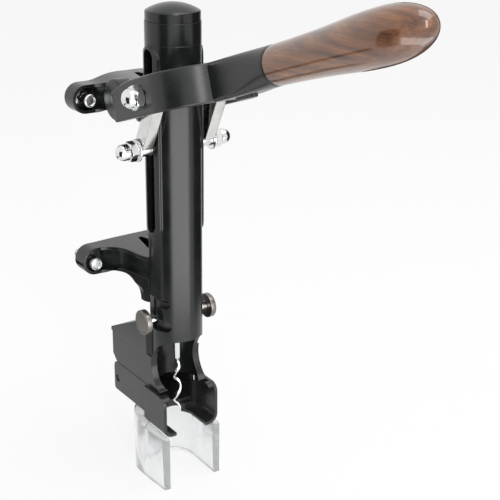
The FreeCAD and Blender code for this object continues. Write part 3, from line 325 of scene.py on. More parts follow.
def ring_rectangle(half_w: float, half_h: float, corner: float, steps: int = 6) -> np.ndarray:
    """Closed rectangle with round corners, about its own middle, counter-clockwise.

    Args:
        half_w: half its first size.
        half_h: half its second size.
        corner: corner radius.
        steps: points in each corner, less one.

    Returns:
        Rows of two values.
    """
    turn = np.linspace(0.0, np.pi / 2.0, steps + 1)
    arc = np.stack([np.cos(turn), np.sin(turn)], axis=1) * corner
    centre = np.array([half_w - corner, half_h - corner])
    quarter = arc + centre
    flips = ((1, 1, False), (-1, 1, True), (-1, -1, False), (1, -1, True))
    parts = [quarter * np.array([sx, sy]) for sx, sy, _ in flips]
    return np.concatenate([p[::-1] if f[2] else p for p, f in zip(parts, flips)])


def bevelled_slab(outline: np.ndarray, thickness: float, bevel: float, steps: int = 4) -> np.ndarray:
    """Slab of a closed outline with quarter-round edges: rings step inward along the outline's normals.

    Args:
        outline: ring of two values, counter-clockwise.
        thickness: the slab's thickness.
        bevel: radius of its edges.
        steps: points in each quarter round, less one.

    Returns:
        Grid of rings with two outline values and a height from 0 to the thickness.
    """
    ahead = np.roll(outline, -1, axis=0) - outline
    behind = outline - np.roll(outline, 1, axis=0)
    ahead /= np.linalg.norm(ahead, axis=1, keepdims=True) + 1e-12
    behind /= np.linalg.norm(behind, axis=1, keepdims=True) + 1e-12
    tangent = ahead + behind
    tangent /= np.linalg.norm(tangent, axis=1, keepdims=True) + 1e-12
    inward = np.stack([-tangent[:, 1], tangent[:, 0]], axis=1)
    turn = np.linspace(0.0, np.pi / 2.0, steps + 1)
    inset = bevel * (1.0 - np.sin(turn))
    level = bevel * (1.0 - np.cos(turn))
    insets = np.concatenate([inset, inset[::-1]])
    levels = np.concatenate([level, thickness - level[::-1]])
    flat = outline[None] + insets[:, None, None] * inward[None]
    return np.concatenate([flat, np.broadcast_to(levels[:, None, None], flat.shape[:2] + (1,))], axis=2)


def placed(
    grid: np.ndarray, origin: np.ndarray, first: np.ndarray, second: np.ndarray, third: np.ndarray
) -> np.ndarray:
    """Put a grid given in local values into the row frame.

    Args:
        grid: array whose last axis holds three local values.
        origin: place of the local zero.
        first: direction of the first value.
        second: direction of the second.
        third: direction of the third.

    Returns:
        Row frame points.
    """
    return origin + grid[..., :1] * first + grid[..., 1:2] * second + grid[..., 2:3] * third


# Finishes


class NodeKit:
    """Short hand for building one material's nodes."""

    def __init__(self, name: str) -> None:
        """Start a material with its shader.

        Args:
            name: the material's name.
        """
        self.material = bpy.data.materials.new(name)
        self.material.use_nodes = True
        self.tree = self.material.node_tree
        self.shader = self.tree.nodes["Principled BSDF"]

    def node(self, kind: str, **values: object) -> bpy.types.Node:
        """Add a node; keys with capitals set inputs, others set properties.

        Args:
            kind: Blender's node type.
            values: inputs and properties.

        Returns:
            The node.
        """
        made = self.tree.nodes.new(kind)
        for key, value in values.items():
            if key in made.inputs:
                made.inputs[key].default_value = value
            else:
                setattr(made, key, value)
        return made

    def link(self, out: Socket, into: Socket) -> None:
        """Join two sockets."""
        self.tree.links.new(out, into)

    def plain(self, values: dict[str, object]) -> None:
        """Set inputs of the shader that are the same all over."""
        for key, value in values.items():
            self.shader.inputs[key].default_value = value

    def coordinates(self, scale: Point = (1.0, 1.0, 1.0), rotation: Point = (0.0, 0.0, 0.0)) -> Socket:
        """Object coordinates through a mapping.

        Args:
            scale: the mapping's scale.
            rotation: its turn in radians.

        Returns:
            The mapping's vector.
        """
        texture = self.node("ShaderNodeTexCoord")
        mapping = self.node("ShaderNodeMapping")
        mapping.inputs["Scale"].default_value = scale
        mapping.inputs["Rotation"].default_value = rotation
        self.link(texture.outputs["Object"], mapping.inputs["Vector"])
        return mapping.outputs["Vector"]

    def noise(self, vector: Socket, scale: float, detail: float = 3.0, rough: float = 0.5) -> Socket:
        """Noise over a vector.

        Args:
            vector: coordinates.
            scale: cells in a metre.
            detail: octaves.
            rough: share kept by each octave.

        Returns:
            The noise's value.
        """
        made = self.node("ShaderNodeTexNoise")
        made.inputs["Scale"].default_value = scale
        made.inputs["Detail"].default_value = detail
        made.inputs["Roughness"].default_value = rough
        self.link(vector, made.inputs["Vector"])
        return made.outputs["Fac"]

    def spread(self, value: Socket, low: float, high: float) -> Socket:
        """Map a value of 0.3 to 0.7 onto a range.

        Args:
            value: the source.
            low: result at 0.3.
            high: result at 0.7.

        Returns:
            The mapped value.
        """
        made = self.node("ShaderNodeMapRange")
        for key, number in zip(("From Min", "From Max", "To Min", "To Max"), (0.3, 0.7, low, high)):
            made.inputs[key].default_value = number
        self.link(value, made.inputs["Value"])
        return made.outputs["Result"]

    def surface(self, height: Socket | None, depth: float, edge: float) -> None:
        """Fine relief, over edges that are softened by a small radius.

        Args:
            height: the relief's value, or none.
            depth: its depth in metres.
            edge: radius of softened edges in metres, or 0.
        """
        normal = None
        if edge > 0.0:
            bevel = self.node("ShaderNodeBevel", samples=6)
            bevel.inputs["Radius"].default_value = edge
            normal = bevel.outputs["Normal"]
        if height is not None:
            bump = self.node("ShaderNodeBump")
            bump.inputs["Strength"].default_value = 1.0
            bump.inputs["Distance"].default_value = depth
            self.link(height, bump.inputs["Height"])
            if normal is not None:
                self.link(normal, bump.inputs["Normal"])
            normal = bump.outputs["Normal"]
        if normal is not None:
            self.link(normal, self.shader.inputs["Normal"])

    def ramp(self, value: Socket, stops: tuple[tuple[float, Point], ...]) -> Socket:
        """Colour ramp over a value.

        Args:
            value: the source.
            stops: positions and colours.

        Returns:
            The colour.
        """
        made = self.node("ShaderNodeValToRGB")
        ramp = made.color_ramp
        while len(ramp.elements) < len(stops):
            ramp.elements.new(0.5)
        for element, (position, colour) in zip(ramp.elements, stops):
            element.position = position
            element.color = (*colour, 1.0)
        self.link(value, made.inputs["Fac"])
        return made.outputs["Color"]

    def mix(self, factor: Socket | float, a: Socket | Point, b: Socket | Point) -> Socket:
        """Blend two colours.

        Args:
            factor: share of the second.
            a: the first, a socket or a colour.
            b: the second.

        Returns:
            The blended colour.
        """
        made = self.node("ShaderNodeMix", data_type="RGBA")
        if isinstance(factor, float):
            made.inputs["Factor"].default_value = factor
        else:
            self.link(factor, made.inputs["Factor"])
        for socket, source in ((made.inputs[6], a), (made.inputs[7], b)):
            if isinstance(source, tuple):
                socket.default_value = (*source, 1.0)
            else:
                self.link(source, socket)
        return made.outputs[2]


@dataclass(frozen=True)
class Enamel:
    """Satin stoved enamel over a casting, with a faint flow and soft edges."""

    name: str
    dark: Point
    light: Point
    roughness: tuple[float, float]
    edge: float = 0.7 * MM

    def build(self) -> bpy.types.Material:
        """Build the material."""
        kit = NodeKit(self.name)
        where = kit.coordinates()
        broad = kit.noise(where, 55.0, 4.0, 0.6)
        grain = kit.noise(where, 1500.0, 2.0)
        kit.link(kit.mix(kit.spread(broad, 0.0, 1.0), self.dark, self.light), kit.shader.inputs["Base Color"])
        kit.link(kit.spread(broad, *self.roughness), kit.shader.inputs["Roughness"])
        kit.surface(grain, 0.012 * MM, self.edge)
        return kit.material


@dataclass(frozen=True)
class Metal:
    """Bare or plated metal with a fine variation of polish."""

    name: str
    colour: Point
    roughness: tuple[float, float]
    relief: float = 0.0
    grain: float = 900.0
    edge: float = 0.0

    def build(self) -> bpy.types.Material:
        """Build the material."""
        kit = NodeKit(self.name)
        where = kit.coordinates()
        kit.plain({"Metallic": 1.0})
        worn = tuple(c * 0.86 for c in self.colour)
        patch = kit.noise(where, 130.0, 3.0, 0.55)
        fine = kit.noise(where, self.grain, 3.0, 0.6)
        kit.link(kit.mix(kit.spread(patch, 0.0, 1.0), worn, self.colour), kit.shader.inputs["Base Color"])
        kit.link(kit.spread(fine, *self.roughness), kit.shader.inputs["Roughness"])
        if self.relief > 0.0 or self.edge > 0.0:
            kit.surface(fine if self.relief > 0.0 else None, self.relief, self.edge)
        return kit.material


@dataclass(frozen=True)
class LacqueredWood:
    """Walnut under clear lacquer: long streaks and fine pores that run along the lever."""

    name: str = "lacquered_walnut"
    dark: Point = (0.075, 0.024, 0.008)
    middle: Point = (0.185, 0.066, 0.021)
    light: Point = (0.310, 0.125, 0.040)

    def build(self) -> bpy.types.Material:
        """Build the material."""
        kit = NodeKit(self.name)
        turn = (LEVER_PITCH, 0.0, 0.0)
        streak = kit.noise(kit.coordinates((1.0, 0.07, 1.0), turn), 190.0, 5.0, 0.62)
        band = kit.noise(kit.coordinates((1.0, 0.16, 1.0), turn), 42.0, 3.0, 0.5)
        pore = kit.noise(kit.coordinates((1.0, 0.035, 1.0), turn), 900.0, 2.0, 0.5)
        stops = ((0.33, self.dark), (0.5, self.middle), (0.68, self.light))
        wood = kit.ramp(streak, stops)
        broad = kit.ramp(band, ((0.35, (0.74, 0.7, 0.66)), (0.62, (1.0, 1.0, 1.0))))
        shade = kit.node("ShaderNodeMix", data_type="RGBA", blend_type="MULTIPLY")
        shade.inputs["Factor"].default_value = 1.0
        kit.link(wood, shade.inputs[6])
        kit.link(broad, shade.inputs[7])
        pores = kit.spread(pore, -0.25, 0.5)
        kit.link(kit.mix(pores, shade.outputs[2], self.dark), kit.shader.inputs["Base Color"])
        kit.plain({"Roughness": 0.42, "Coat Weight": 1.0, "Coat Roughness": 0.07})
        kit.surface(pore, 0.01 * MM, 0.0)
        return kit.material


@dataclass(frozen=True)
class ClearPlastic:
    """Clear moulded plastic with polished faces."""

    name: str = "clear_guard"
    tint: Point = (0.97, 0.985, 0.99)

    def build(self) -> bpy.types.Material:
        """Build the material."""
        kit = NodeKit(self.name)
        kit.plain({"Base Color": (*self.tint, 1.0), "Transmission Weight": 0.8, "IOR": 1.46})
        ripple = kit.noise(kit.coordinates(), 60.0, 2.0)
        kit.link(kit.spread(ripple, 0.015, 0.04), kit.shader.inputs["Roughness"])
        kit.surface(ripple, 0.02 * MM, 0.0)
        return kit.material


BLACK = Enamel("black_enamel", (0.007, 0.009, 0.008), (0.010, 0.013, 0.011), (0.20, 0.27))
LEVER_BLACK = Enamel("lever_enamel", (0.011, 0.013, 0.012), (0.016, 0.019, 0.017), (0.24, 0.32))
SHEET_BLACK = Enamel("sheet_enamel", (0.016, 0.018, 0.016), (0.023, 0.026, 0.023), (0.26, 0.36), 0.4 * MM)
CHROME = Metal("polished_chrome", (0.82, 0.83, 0.83), (0.08, 0.15))
PLATED = Metal("bright_zinc_plate", (0.66, 0.67, 0.67), (0.16, 0.26), 0.004 * MM, 900.0, 0.3 * MM)
LINK_STEEL = Metal("polished_link_steel", (0.74, 0.74, 0.72), (0.12, 0.2), 0.003 * MM, 700.0)
MACHINED = Metal("machined_steel", (0.42, 0.42, 0.41), (0.24, 0.34), 0.004 * MM, 900.0, 0.3 * MM)
DARK_STEEL = Metal("blued_steel", (0.1, 0.1, 0.1), (0.34, 0.46), 0.004 * MM, 900.0, 0.3 * MM)
GUNMETAL = Metal("satin_dark_nickel", (0.25, 0.235, 0.215), (0.30, 0.38), 0.003 * MM, 1200.0)
BRASS = Metal("machined_brass", (0.78, 0.56, 0.25), (0.18, 0.28), 0.003 * MM, 900.0, 0.3 * MM)
WOOD = LacqueredWood()
CLEAR = ClearPlastic()


Finish = Enamel | Metal | LacqueredWood | ClearPlastic


class Paint:
    """Keeps one built material for each finish."""

    def __init__(self) -> None:
        """Start with no material built."""
        self.built: dict[str, bpy.types.Material] = {}

    def of(self, finish: Finish) -> bpy.types.Material:
        """Material of a finish, built on first use.

        Args:
            finish: the finish.

        Returns:
            Its material.
        """
        if finish.name not in self.built:
            self.built[finish.name] = finish.build()
        return self.built[finish.name]


PAINT = Paint()


def dress(obj: bpy.types.Object, finish: Finish) -> None:
    """Give an object one finish.

    Args:
        obj: the object.
        finish: its finish.
    """
    obj.data.materials.clear()
    obj.data.materials.append(PAINT.of(finish))


def dress_node(node: str, finish: Finish) -> None:
    """Give a CAD node one finish on its object's slots, with its mesh left alone.

    Args:
        node: the node's name.
        finish: its finish.
    """
    obj = frame["nodes"][node]
    for item in [obj, *obj.children_recursive]:
        if item.type == "MESH":
            for slot in item.material_slots:
                slot.link = "OBJECT"
                slot.material = PAINT.of(finish)
    LOG.info("node %s in %s", node, finish.name)


def place(obj: bpy.types.Object, body: Body, finish: Finish, slot: str, *nodes: str) -> None:
    """Finish a piece and let it ride on a body in place of CAD nodes.

    Args:
        obj: the piece.
        body: the body that it moves with.
        finish: its finish.
        slot: the record's material slot; not used.
        nodes: the CAD nodes that it stands for.
    """
    dress(obj, finish)
    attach(obj, body.value)
    if nodes:
        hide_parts(*nodes)
    LOG.info("piece %s on %s, %d faces", obj.name, body.value, len(obj.data.polygons))


# Pieces of the object


def level(above_foot: float) -> float:
    """Z in metres of a level given in millimetres above the guard's foot."""
    return FOOT_Z + above_foot * MM


def behind(distance: float) -> float:
    """Y in metres of a place given in millimetres behind the tube's axis."""
    return TUBE_Y + distance * MM


def hermite(stations: np.ndarray, values: np.ndarray, at: np.ndarray) -> np.ndarray:
    """Smooth curve through stations: cubic pieces whose slopes are those of the neighbouring chords' mean.

    Args:
        stations: rising places.
        values: the curve's values there.
        at: places to read.

    Returns:
        The curve's values at those places.
    """
    slopes = np.gradient(values, stations)
    i = np.clip(np.searchsorted(stations, at, side="right") - 1, 0, len(stations) - 2)
    gap = stations[i + 1] - stations[i]
    t = (at - stations[i]) / gap
    rise = values[i] * (1 + 2 * t) * (1 - t) ** 2 + values[i + 1] * t * t * (3 - 2 * t)
    return rise + gap * (slopes[i] * t * (1 - t) ** 2 - slopes[i + 1] * t * t * (1 - t))


@dataclass
class Lever:
    """Forked lever with its hubs, neck and wooden grip, in the lever's own directions, in metres."""

    arm_outer: float = 40.0 * MM
    arm_inner: float = 33.2 * MM
    low: float = -16.0 * MM
    high: float = 10.0 * MM
    rear: float = 1.5 * MM
    rear_drop: float = 5.0 * MM
    rear_drop_length: float = 30.0 * MM
    straight: float = 57.0 * MM
    front_inner: float = 84.5 * MM
    front_outer: float = 91.5 * MM
    corner: float = 1.5 * MM
    hub_radius: float = 15.0 * MM
    hub_inner: float = 25.2 * MM
    hub_outer: float = 37.0 * MM
    neck_half: float = 12.6 * MM
    neck_start: float = 85.5 * MM
    neck_ease_start: float = 100.0 * MM
    neck_end: float = 150.0 * MM
    neck_half_height: float = 13.0 * MM
    neck_corner: float = 3.0 * MM
    neck_round: float = 13.0 * MM
    rib_place: float = 110.0 * MM
    rib_rise: float = 1.8 * MM
    grip_axis: float = -2.0 * MM
    grip_length: float = 135.0 * MM

    def build(self) -> None:
        """Make the lever's pieces."""
        yoke = Shell()
        self.band(yoke)
        self.neck(yoke)
        for side in Side:
            self.hub(yoke, side)
        self.rib(yoke)
        place(yoke.piece("forked_lever"), Body.LEVER, LEVER_BLACK, "lever_enamel", "lever_yoke")
        place(self.grip(), Body.LEVER, WOOD, "walnut", "handle_grip")

    def band(self, shell: Shell) -> None:
        """Fork: a rounded rectangle carried along two straight arms joined by half an ellipse.

        Args:
            shell: gathers the surface.
        """
        rounding = np.array([0.0, 0.35, 1.0]) * MM
        straight = np.concatenate([self.rear + rounding, np.linspace(self.rear + 3 * MM, self.straight, 14)])
        turn = np.linspace(0.0, np.pi, 73)[1:-1]
        arms = []
        for x, front in ((self.arm_inner, self.front_inner), (self.arm_outer, self.front_outer)):
            bend = np.stack([-x * np.cos(turn), self.straight + (front - self.straight) * np.sin(turn)], axis=1)
            left = np.stack([np.full_like(straight, -x), straight], axis=1)
            arms.append(np.concatenate([left, bend, left[::-1] * np.array([-1.0, 1.0])]))
        inner, outer = arms
        middle, across = (inner + outer) / 2.0, (outer - inner) / 2.0
        half_h = (self.high - self.low) / 2.0
        thick = np.linalg.norm(across, axis=1)
        ring = ring_rectangle(thick.mean(), half_h, self.corner) / np.array([thick.mean(), 1.0])
        u = middle[:, 1]
        inset = np.interp(u - self.rear, rounding, rounding[::-1])
        drop = self.rear_drop * np.clip(1.0 - (u - self.rear) / self.rear_drop_length, 0.0, 1.0) ** 1.7
        width = ring[None, :, 0] * (1.0 - inset / thick)[:, None]
        tall = ring[None, :, 1] * (1.0 - inset / half_h)[:, None]
        tall = np.where(tall > 0.0, tall * (1.0 - drop / half_h)[:, None], tall)
        x = middle[:, None, 0] + across[:, None, 0] * width
        along = middle[:, None, 1] + across[:, None, 1] * width
        shell.grid(lever_points(x, along, tall + (self.high + self.low) / 2.0))

    def neck(self, shell: Shell) -> None:
        """Neck: rings that turn from a rounded rectangle into the grip's circle, with easing at both ends.

        Args:
            shell: gathers the surface.
        """
        u = np.linspace(self.neck_start, self.neck_end, 40)
        start = self.neck_ease_start
        share = np.clip((u - start) / (self.neck_end - start), 0.0, 1.0)
        ease = share * share * (3.0 - 2.0 * share)
        half_w = self.neck_half + (self.neck_round - self.neck_half) * ease
        half_h = self.neck_half_height + (self.neck_round - self.neck_half_height) * ease
        centre = (self.high + self.low) / 2.0 * (1.0 - ease) + self.grip_axis * ease
        corner = self.neck_corner + (self.neck_round * 0.985 - self.neck_corner) * ease**1.4
        rings = np.stack([ring_rectangle(w, h, c, 10) for w, h, c in zip(half_w, half_h, corner)])
        edge = np.interp(self.neck_end - u, [0.0, 1.6 * MM], [0.94, 1.0])
        across = rings[..., 0] * edge[:, None]
        upward = rings[..., 1] * edge[:, None] + centre[:, None]
        shell.grid(lever_points(across, np.broadcast_to(u[:, None], rings.shape[:2]), upward))

    def hub(self, shell: Shell, side: Side) -> None:
        """Hub: a disc with rounded rims about the fulcrum.

        Args:
            shell: gathers the surface.
            side: left or right.
        """
        near, far, r = self.hub_inner, self.hub_outer, self.hub_radius
        profile = rounded_profile([(0, near, 0), (r, near, 1.2 * MM), (r, far, 1.6 * MM), (0, far, 0)])
        shell.grid(lathe(profile, FULCRUM, side.value * ACROSS, 96), cap=False)

    def rib(self, shell: Shell) -> None:
        """Stop rib under the neck: a low slab with rounded edges.

        Args:
            shell: gathers the surface.
        """
        outline = ring_rectangle(10.5 * MM, 2.4 * MM, 1.6 * MM)
        slab = bevelled_slab(outline, 3.8 * MM, 0.7 * MM)
        origin = FULCRUM + LEVER_FORWARD * self.rib_place + LEVER_UP * (self.low - self.rib_rise)
        shell.grid(placed(slab, origin, LEVER_FORWARD, ACROSS, LEVER_UP))

    def grip(self) -> bpy.types.Object:
        """Grip: its radius is a slow curve times the root of the distance left to its tip, so the end is round.

        Returns:
            The turned grip.
        """
        stations = np.array([0.0, 22.0, 58.0, 91.0, 112.0, 126.0, 135.0]) * MM
        radii = np.array([13.0, 13.4, 14.8, 16.3, 15.0, 10.8]) * MM
        slow = radii / np.sqrt(self.grip_length - stations[:-1])
        slow = np.append(slow, slow[-1] * 1.09)
        turn = np.linspace(0.0, np.pi / 2.0, 90)
        along = self.grip_length * np.sin(turn)
        radius = hermite(stations, slow, along) * np.sqrt(np.clip(self.grip_length - along, 0.0, None))
        radius[0] -= 0.5 * MM
        profile = np.stack([radius, along], axis=1)
        profile = np.concatenate([[[0.0, 0.0]], profile[:1], [[radius[1] - 0.1 * MM, 0.35 * MM]], profile[1:]])
        base = FULCRUM + LEVER_FORWARD * self.neck_end + LEVER_UP * self.grip_axis
        return Shell().grid(lathe(profile, base, LEVER_FORWARD, 96), cap=False).piece("wooden_grip")


@dataclass(frozen=True)
class HexForm:
    """Nut whose radius is the smaller of its hexagon's and a turned envelope's, so chamfers arise by themselves."""

    flats: float
    envelope: Table
    roll: float = 0.0

    def surface(self, base: np.ndarray, axis: np.ndarray) -> np.ndarray:
        """Grid of the nut.

        Args:
            base: centre of its seat.
            axis: direction away from the seat.

        Returns:
            Grid of rings, the hexagon's flats cut by the envelope.
        """
        first, second, along = frame_of(axis)
        turn = np.linspace(0.0, 2.0 * np.pi, 96, endpoint=False)
        flat = self.flats / 2.0 / np.cos((turn + np.pi / 6.0) % (np.pi / 3.0) - np.pi / 6.0)
        table = np.array(self.envelope)
        radius = np.minimum(flat[None], table[:, :1])
        angle = turn + self.roll
        ring = np.cos(angle)[:, None] * first + np.sin(angle)[:, None] * second
        return base + radius[..., None] * ring[None] + table[:, 1][:, None, None] * along


def acorn_envelope(flats: float, hex_height: float, height: float) -> Table:
    """Envelope of a domed nut: chamfered hexagon, short neck and a half-round dome.

    Args:
        flats: size across the flats.
        hex_height: height of the hexagon.
        height: whole height.

    Returns:
        Rows of radius and height.
    """
    corner = flats * 0.578
    foot = flats * 0.465
    dome = flats * 0.462
    start = height - dome
    turn = np.linspace(0.0, np.pi / 2.0, 20)
    low = [(0.0, 0.0), (foot, 0.0)]
    body = [(foot + (corner - foot) * s, 0.07 * flats * s**1.6) for s in np.linspace(0.1, 1.0, 8)]
    body += [(corner, hex_height * 0.5)]
    for s in np.linspace(0.0, 1.0, 10):
        body += [(dome + (corner - dome) * (1.0 - s**1.8), hex_height - 0.13 * flats * (1.0 - s))]
    neck = [(dome * 0.985, hex_height + 0.01 * flats), (dome, hex_height + 0.05 * flats), (dome, start)]
    top = [(dome * math.cos(a), start + dome * math.sin(a)) for a in turn[1:]]
    return tuple(low + body + neck + top)


@dataclass
class Linkage:
    """Links, cross pin hardware and the nuts of the arms' pivots."""

    link_inner: float = 21.7 * MM
    link_outer: float = 30.5 * MM
    half_width: float = 6.0 * MM
    eye_radius: float = 5.2 * MM
    bar_start: float = 3.6 * MM
    arm_face: float = 40.0 * MM
    pivot_forward: float = 43.4 * MM
    pivot_rise: float = -3.3 * MM
    arm_nut: Point = (15.0 * MM, 7.0 * MM, 13.5 * MM)
    arm_nut_roll: float = math.radians(4.0)
    cross_nut: Point = (13.0 * MM, 6.5 * MM, 15.5 * MM)
    cross_nut_roll: float = math.radians(24.0)
    washer_radius: float = 8.3 * MM
    washer_thickness: float = 1.6 * MM
    washer_gap: float = 0.3 * MM

    def build(self) -> None:
        """Make the linkage's pieces. A nut's three values are its flats, its hexagon's height and its height."""
        joint = FULCRUM + LEVER_FORWARD * self.pivot_forward + LEVER_UP * self.pivot_rise
        self.links(joint)
        self.arm_nuts(joint)
        self.cross_pin_hardware()

    def links(self, joint: np.ndarray) -> None:
        """Pair of links: a round eye on the cross pin, and a bar with rounded edges up to the arm's pivot.

        Args:
            joint: the upper pivot's place.
        """
        span = joint - CROSS_PIN
        length = float(np.linalg.norm(span))
        along = span / length
        square = np.cross(ACROSS, along)
        turn = np.linspace(-np.pi / 2.0, np.pi / 2.0, 25)
        top = np.stack([length + self.half_width * np.cos(turn), self.half_width * np.sin(turn)], axis=1)
        foot = rounded_profile([
            (length / 2.0, self.half_width, 0), (self.bar_start, self.half_width, 1.6 * MM),
            (self.bar_start, -self.half_width, 1.6 * MM), (length / 2.0, -self.half_width, 0)])
        thickness = self.link_outer - self.link_inner
        slab = bevelled_slab(np.concatenate([top, foot]), thickness, 0.9 * MM)
        r = self.eye_radius
        eye = rounded_profile([(0, 0, 0), (r, 0, 0.5 * MM), (r, thickness, 0.5 * MM), (0, thickness, 0)])
        for side, node in ((Side.LEFT, "link_left"), (Side.RIGHT, "link_right")):
            origin = CROSS_PIN + ACROSS * side.value * self.link_inner
            shell = Shell().grid(placed(slab, origin, along, square, side.value * ACROSS))
            shell.grid(lathe(eye, origin, side.value * ACROSS, 48), cap=False)
            piece = shell.piece(f"polished_{node}")
            place(piece, Body.LINKS, LINK_STEEL, "plated_steel", node)

    def arm_nuts(self, joint: np.ndarray) -> None:
        """Domed nuts on the arms' outer faces.

        Args:
            joint: the upper pivot's place.
        """
        shell = Shell()
        form = HexForm(self.arm_nut[0], acorn_envelope(*self.arm_nut), self.arm_nut_roll)
        for side in Side:
            seat = joint + ACROSS * side.value * self.arm_face
            shell.grid(form.surface(seat, side.value * ACROSS), cap=False)
        place(shell.piece("arm_domed_nuts", 24.0), Body.LEVER, CHROME, "chrome", "arm_acorn_nuts")

    def cross_pin_hardware(self) -> None:
        """Washers and domed nuts of the cross pin: rings with rounded rims, and turned hexagons."""
        washers, nuts = Shell(), Shell()
        seat = self.link_outer + self.washer_gap
        r, t = self.washer_radius, self.washer_thickness
        profile = rounded_profile([(0, 0, 0), (r, 0, 0.5 * MM), (r, t, 0.6 * MM), (0, t, 0)])
        form = HexForm(self.cross_nut[0], acorn_envelope(*self.cross_nut), self.cross_nut_roll)
        for side in Side:
            out = side.value * ACROSS
            washers.grid(lathe(profile, CROSS_PIN + out * seat, out), cap=False)
            nuts.grid(form.surface(CROSS_PIN + out * (seat + t), out), cap=False)
        rings, domes = washers.piece("cross_pin_round_washers"), nuts.piece("cross_pin_domed_nuts", 24.0)
        place(rings, Body.CROSSHEAD, CHROME, "chrome", "cross_pin_washers")
        place(domes, Body.CROSSHEAD, CHROME, "chrome", "cross_pin_acorn_nuts")


@dataclass
class Worm:
    """Spindle and helical worm; its top and tip are levels above the guard's foot, in millimetres."""

    shaft_radius: float = 2.4 * MM
    head_radius: float = 5.2 * MM
    head_length: float = 7.0 * MM
    coil_radius: float = 2.4 * MM
    wire_radius: float = 1.8 * MM
    pitch: float = 21.0 * MM
    top: float = 98.0
    tip: float = 54.5

    def build(self) -> None:
        """Make the worm in one piece with its spindle."""
        shell = Shell()
        foot = level(self.top)
        run = float(node_box("worm_spindle")[1][2]) - foot
        r, head, neck = self.shaft_radius, self.head_radius, run - self.head_length
        profile = rounded_profile([
            (0, -0.5 * MM, 0), (1.2 * MM, -0.5 * MM, 0.3 * MM), (r, 2.6 * MM, 0.8 * MM),
            (r, neck, 0), (head, neck, 0.3 * MM), (head, run, 0.5 * MM), (0, run, 0)])
        shell.grid(lathe(profile, np.array([0.0, TUBE_Y, foot]), np.array([0.0, 0.0, 1.0]), 48), cap=False)
        shell.grid(self.helix())
        place(shell.piece("bright_worm"), Body.WORM, CHROME, "chrome", "worm_spindle", "worm_screw")

    def helix(self) -> np.ndarray:
        """Helix: the wire's centre falls evenly as it turns, its coil opens from the axis, and it thins to a point.

        Returns:
            Grid of rings square to the wire.
        """
        fall = np.linspace(-1.5 * MM, (self.top - self.tip) * MM, 220)
        drop = (self.top - self.tip) * MM
        lead = np.clip((fall + 0.12 * self.pitch) / (0.45 * self.pitch), 0.0, 1.0)
        radius = self.coil_radius * lead * lead * (3.0 - 2.0 * lead)
        turn = -2.0 * np.pi * fall / self.pitch
        x, y = radius * np.cos(turn), TUBE_Y + radius * np.sin(turn)
        centre = np.stack([x, y, level(self.top) - fall], axis=1)
        tangent = np.gradient(centre, axis=0)
        tangent /= np.linalg.norm(tangent, axis=1, keepdims=True)
        outward = np.stack([np.cos(turn), np.sin(turn), np.zeros_like(turn)], axis=1)
        outward -= (outward * tangent).sum(axis=1, keepdims=True) * tangent
        outward /= np.linalg.norm(outward, axis=1, keepdims=True)
        square = np.cross(tangent, outward)
        thin = np.clip((drop - fall) / (0.55 * self.pitch), 0.0, 1.0) ** 0.65
        wire = 0.12 * MM + (self.wire_radius - 0.12 * MM) * thin
        around = np.linspace(0.0, 2.0 * np.pi, 24, endpoint=False)
        ring = np.cos(around)[None, :, None] * outward[:, None] * 0.88
        ring = ring + np.sin(around)[None, :, None] * square[:, None]
        return centre[:, None] + wire[:, None, None] * ring


@dataclass
class Latch:
    """Knobs at the ends of the latch pins; their height is in millimetres above the guard's foot."""

    radius: float = 9.6 * MM
    thickness: float = 4.8 * MM
    outer: float = 30.8 * MM
    height: float = 138.3

    def build(self) -> None:
        """Make both knobs: discs with rounded rims and a shallow turned face."""
        r, t = self.radius, self.thickness
        profile = rounded_profile([
            (0, 0, 0), (3.6 * MM, 0, 0.3 * MM), (4.2 * MM, 0.35 * MM, 0.3 * MM), (r, 0.35 * MM, 0.5 * MM),
            (r, t, 0.7 * MM), (r - 1.1 * MM, t, 0.5 * MM), (r - 1.7 * MM, t - 0.12 * MM, 1.0 * MM),
            (0, t - 0.05 * MM, 0)])
        for side, node in ((Side.LEFT, "latch_knob_left"), (Side.RIGHT, "latch_knob_right")):
            out = side.value * ACROSS
            base = np.array([0.0, TUBE_Y, level(self.height)]) + out * (self.outer - t)
            piece = Shell().grid(lathe(profile, base, out, 96), cap=False).piece(f"turned_{node}")
            place(piece, Body.LATCH, GUNMETAL, "gunmetal", node)


@dataclass
class WallFasteners:
    """Lock nuts with tall round collars on the wall studs."""

    flats: float = 10.0 * MM
    hex_height: float = 5.5 * MM
    collar_radius: float = 4.8 * MM
    collar_height: float = 7.5 * MM
    seat: float = -7.0 * MM
    roll: float = math.radians(18.0)

    def build(self) -> None:
        """Make the four nuts."""
        mount = next(m for m in frame["record"]["mounts"] if m["name"] == "wall_studs")
        half_x = mount["dims"]["spacing_x_mm"] / 2.0 * MM
        half_z = mount["dims"]["spacing_y_mm"] / 2.0 * MM
        shell = Shell()
        form = HexForm(self.flats, self.envelope(), self.roll)
        for x in (-half_x, half_x):
            for z in (-half_z, half_z):
                shell.grid(form.surface(np.array([x, self.seat, z]), np.array([0.0, -1.0, 0.0])), cap=False)
        place(shell.piece("collared_wall_nuts", 24.0), Body.BASE, PLATED, "plated_steel", "wall_lock_nuts")

    def envelope(self) -> Table:
        """Envelope: chamfered hexagon, round collar with a soft rim, and a recess at the stud's end."""
        corner, r, h = self.flats * 0.578, self.collar_radius, self.hex_height
        top = h + self.collar_height
        rise = [(self.flats * 0.47, 0.0), (corner, 0.6 * MM), (corner, h - 1.0 * MM)]
        rise += [(r + 0.25 * MM, h), (r, h + 0.3 * MM)]
        turn = np.linspace(0.0, np.pi / 2.0, 7)
        soft = 1.1 * MM
        rim = [(r - soft + soft * math.cos(a), top - soft + soft * math.sin(a)) for a in turn]
        recess = [(3.5, 0.1), (3.2, 0.5), (3.1, 1.0), (0.0, 1.0)]
        recess = [(radius * MM, top - drop * MM) for radius, drop in recess]
        return tuple([(0.0, 0.0)] + rise + rim + recess)


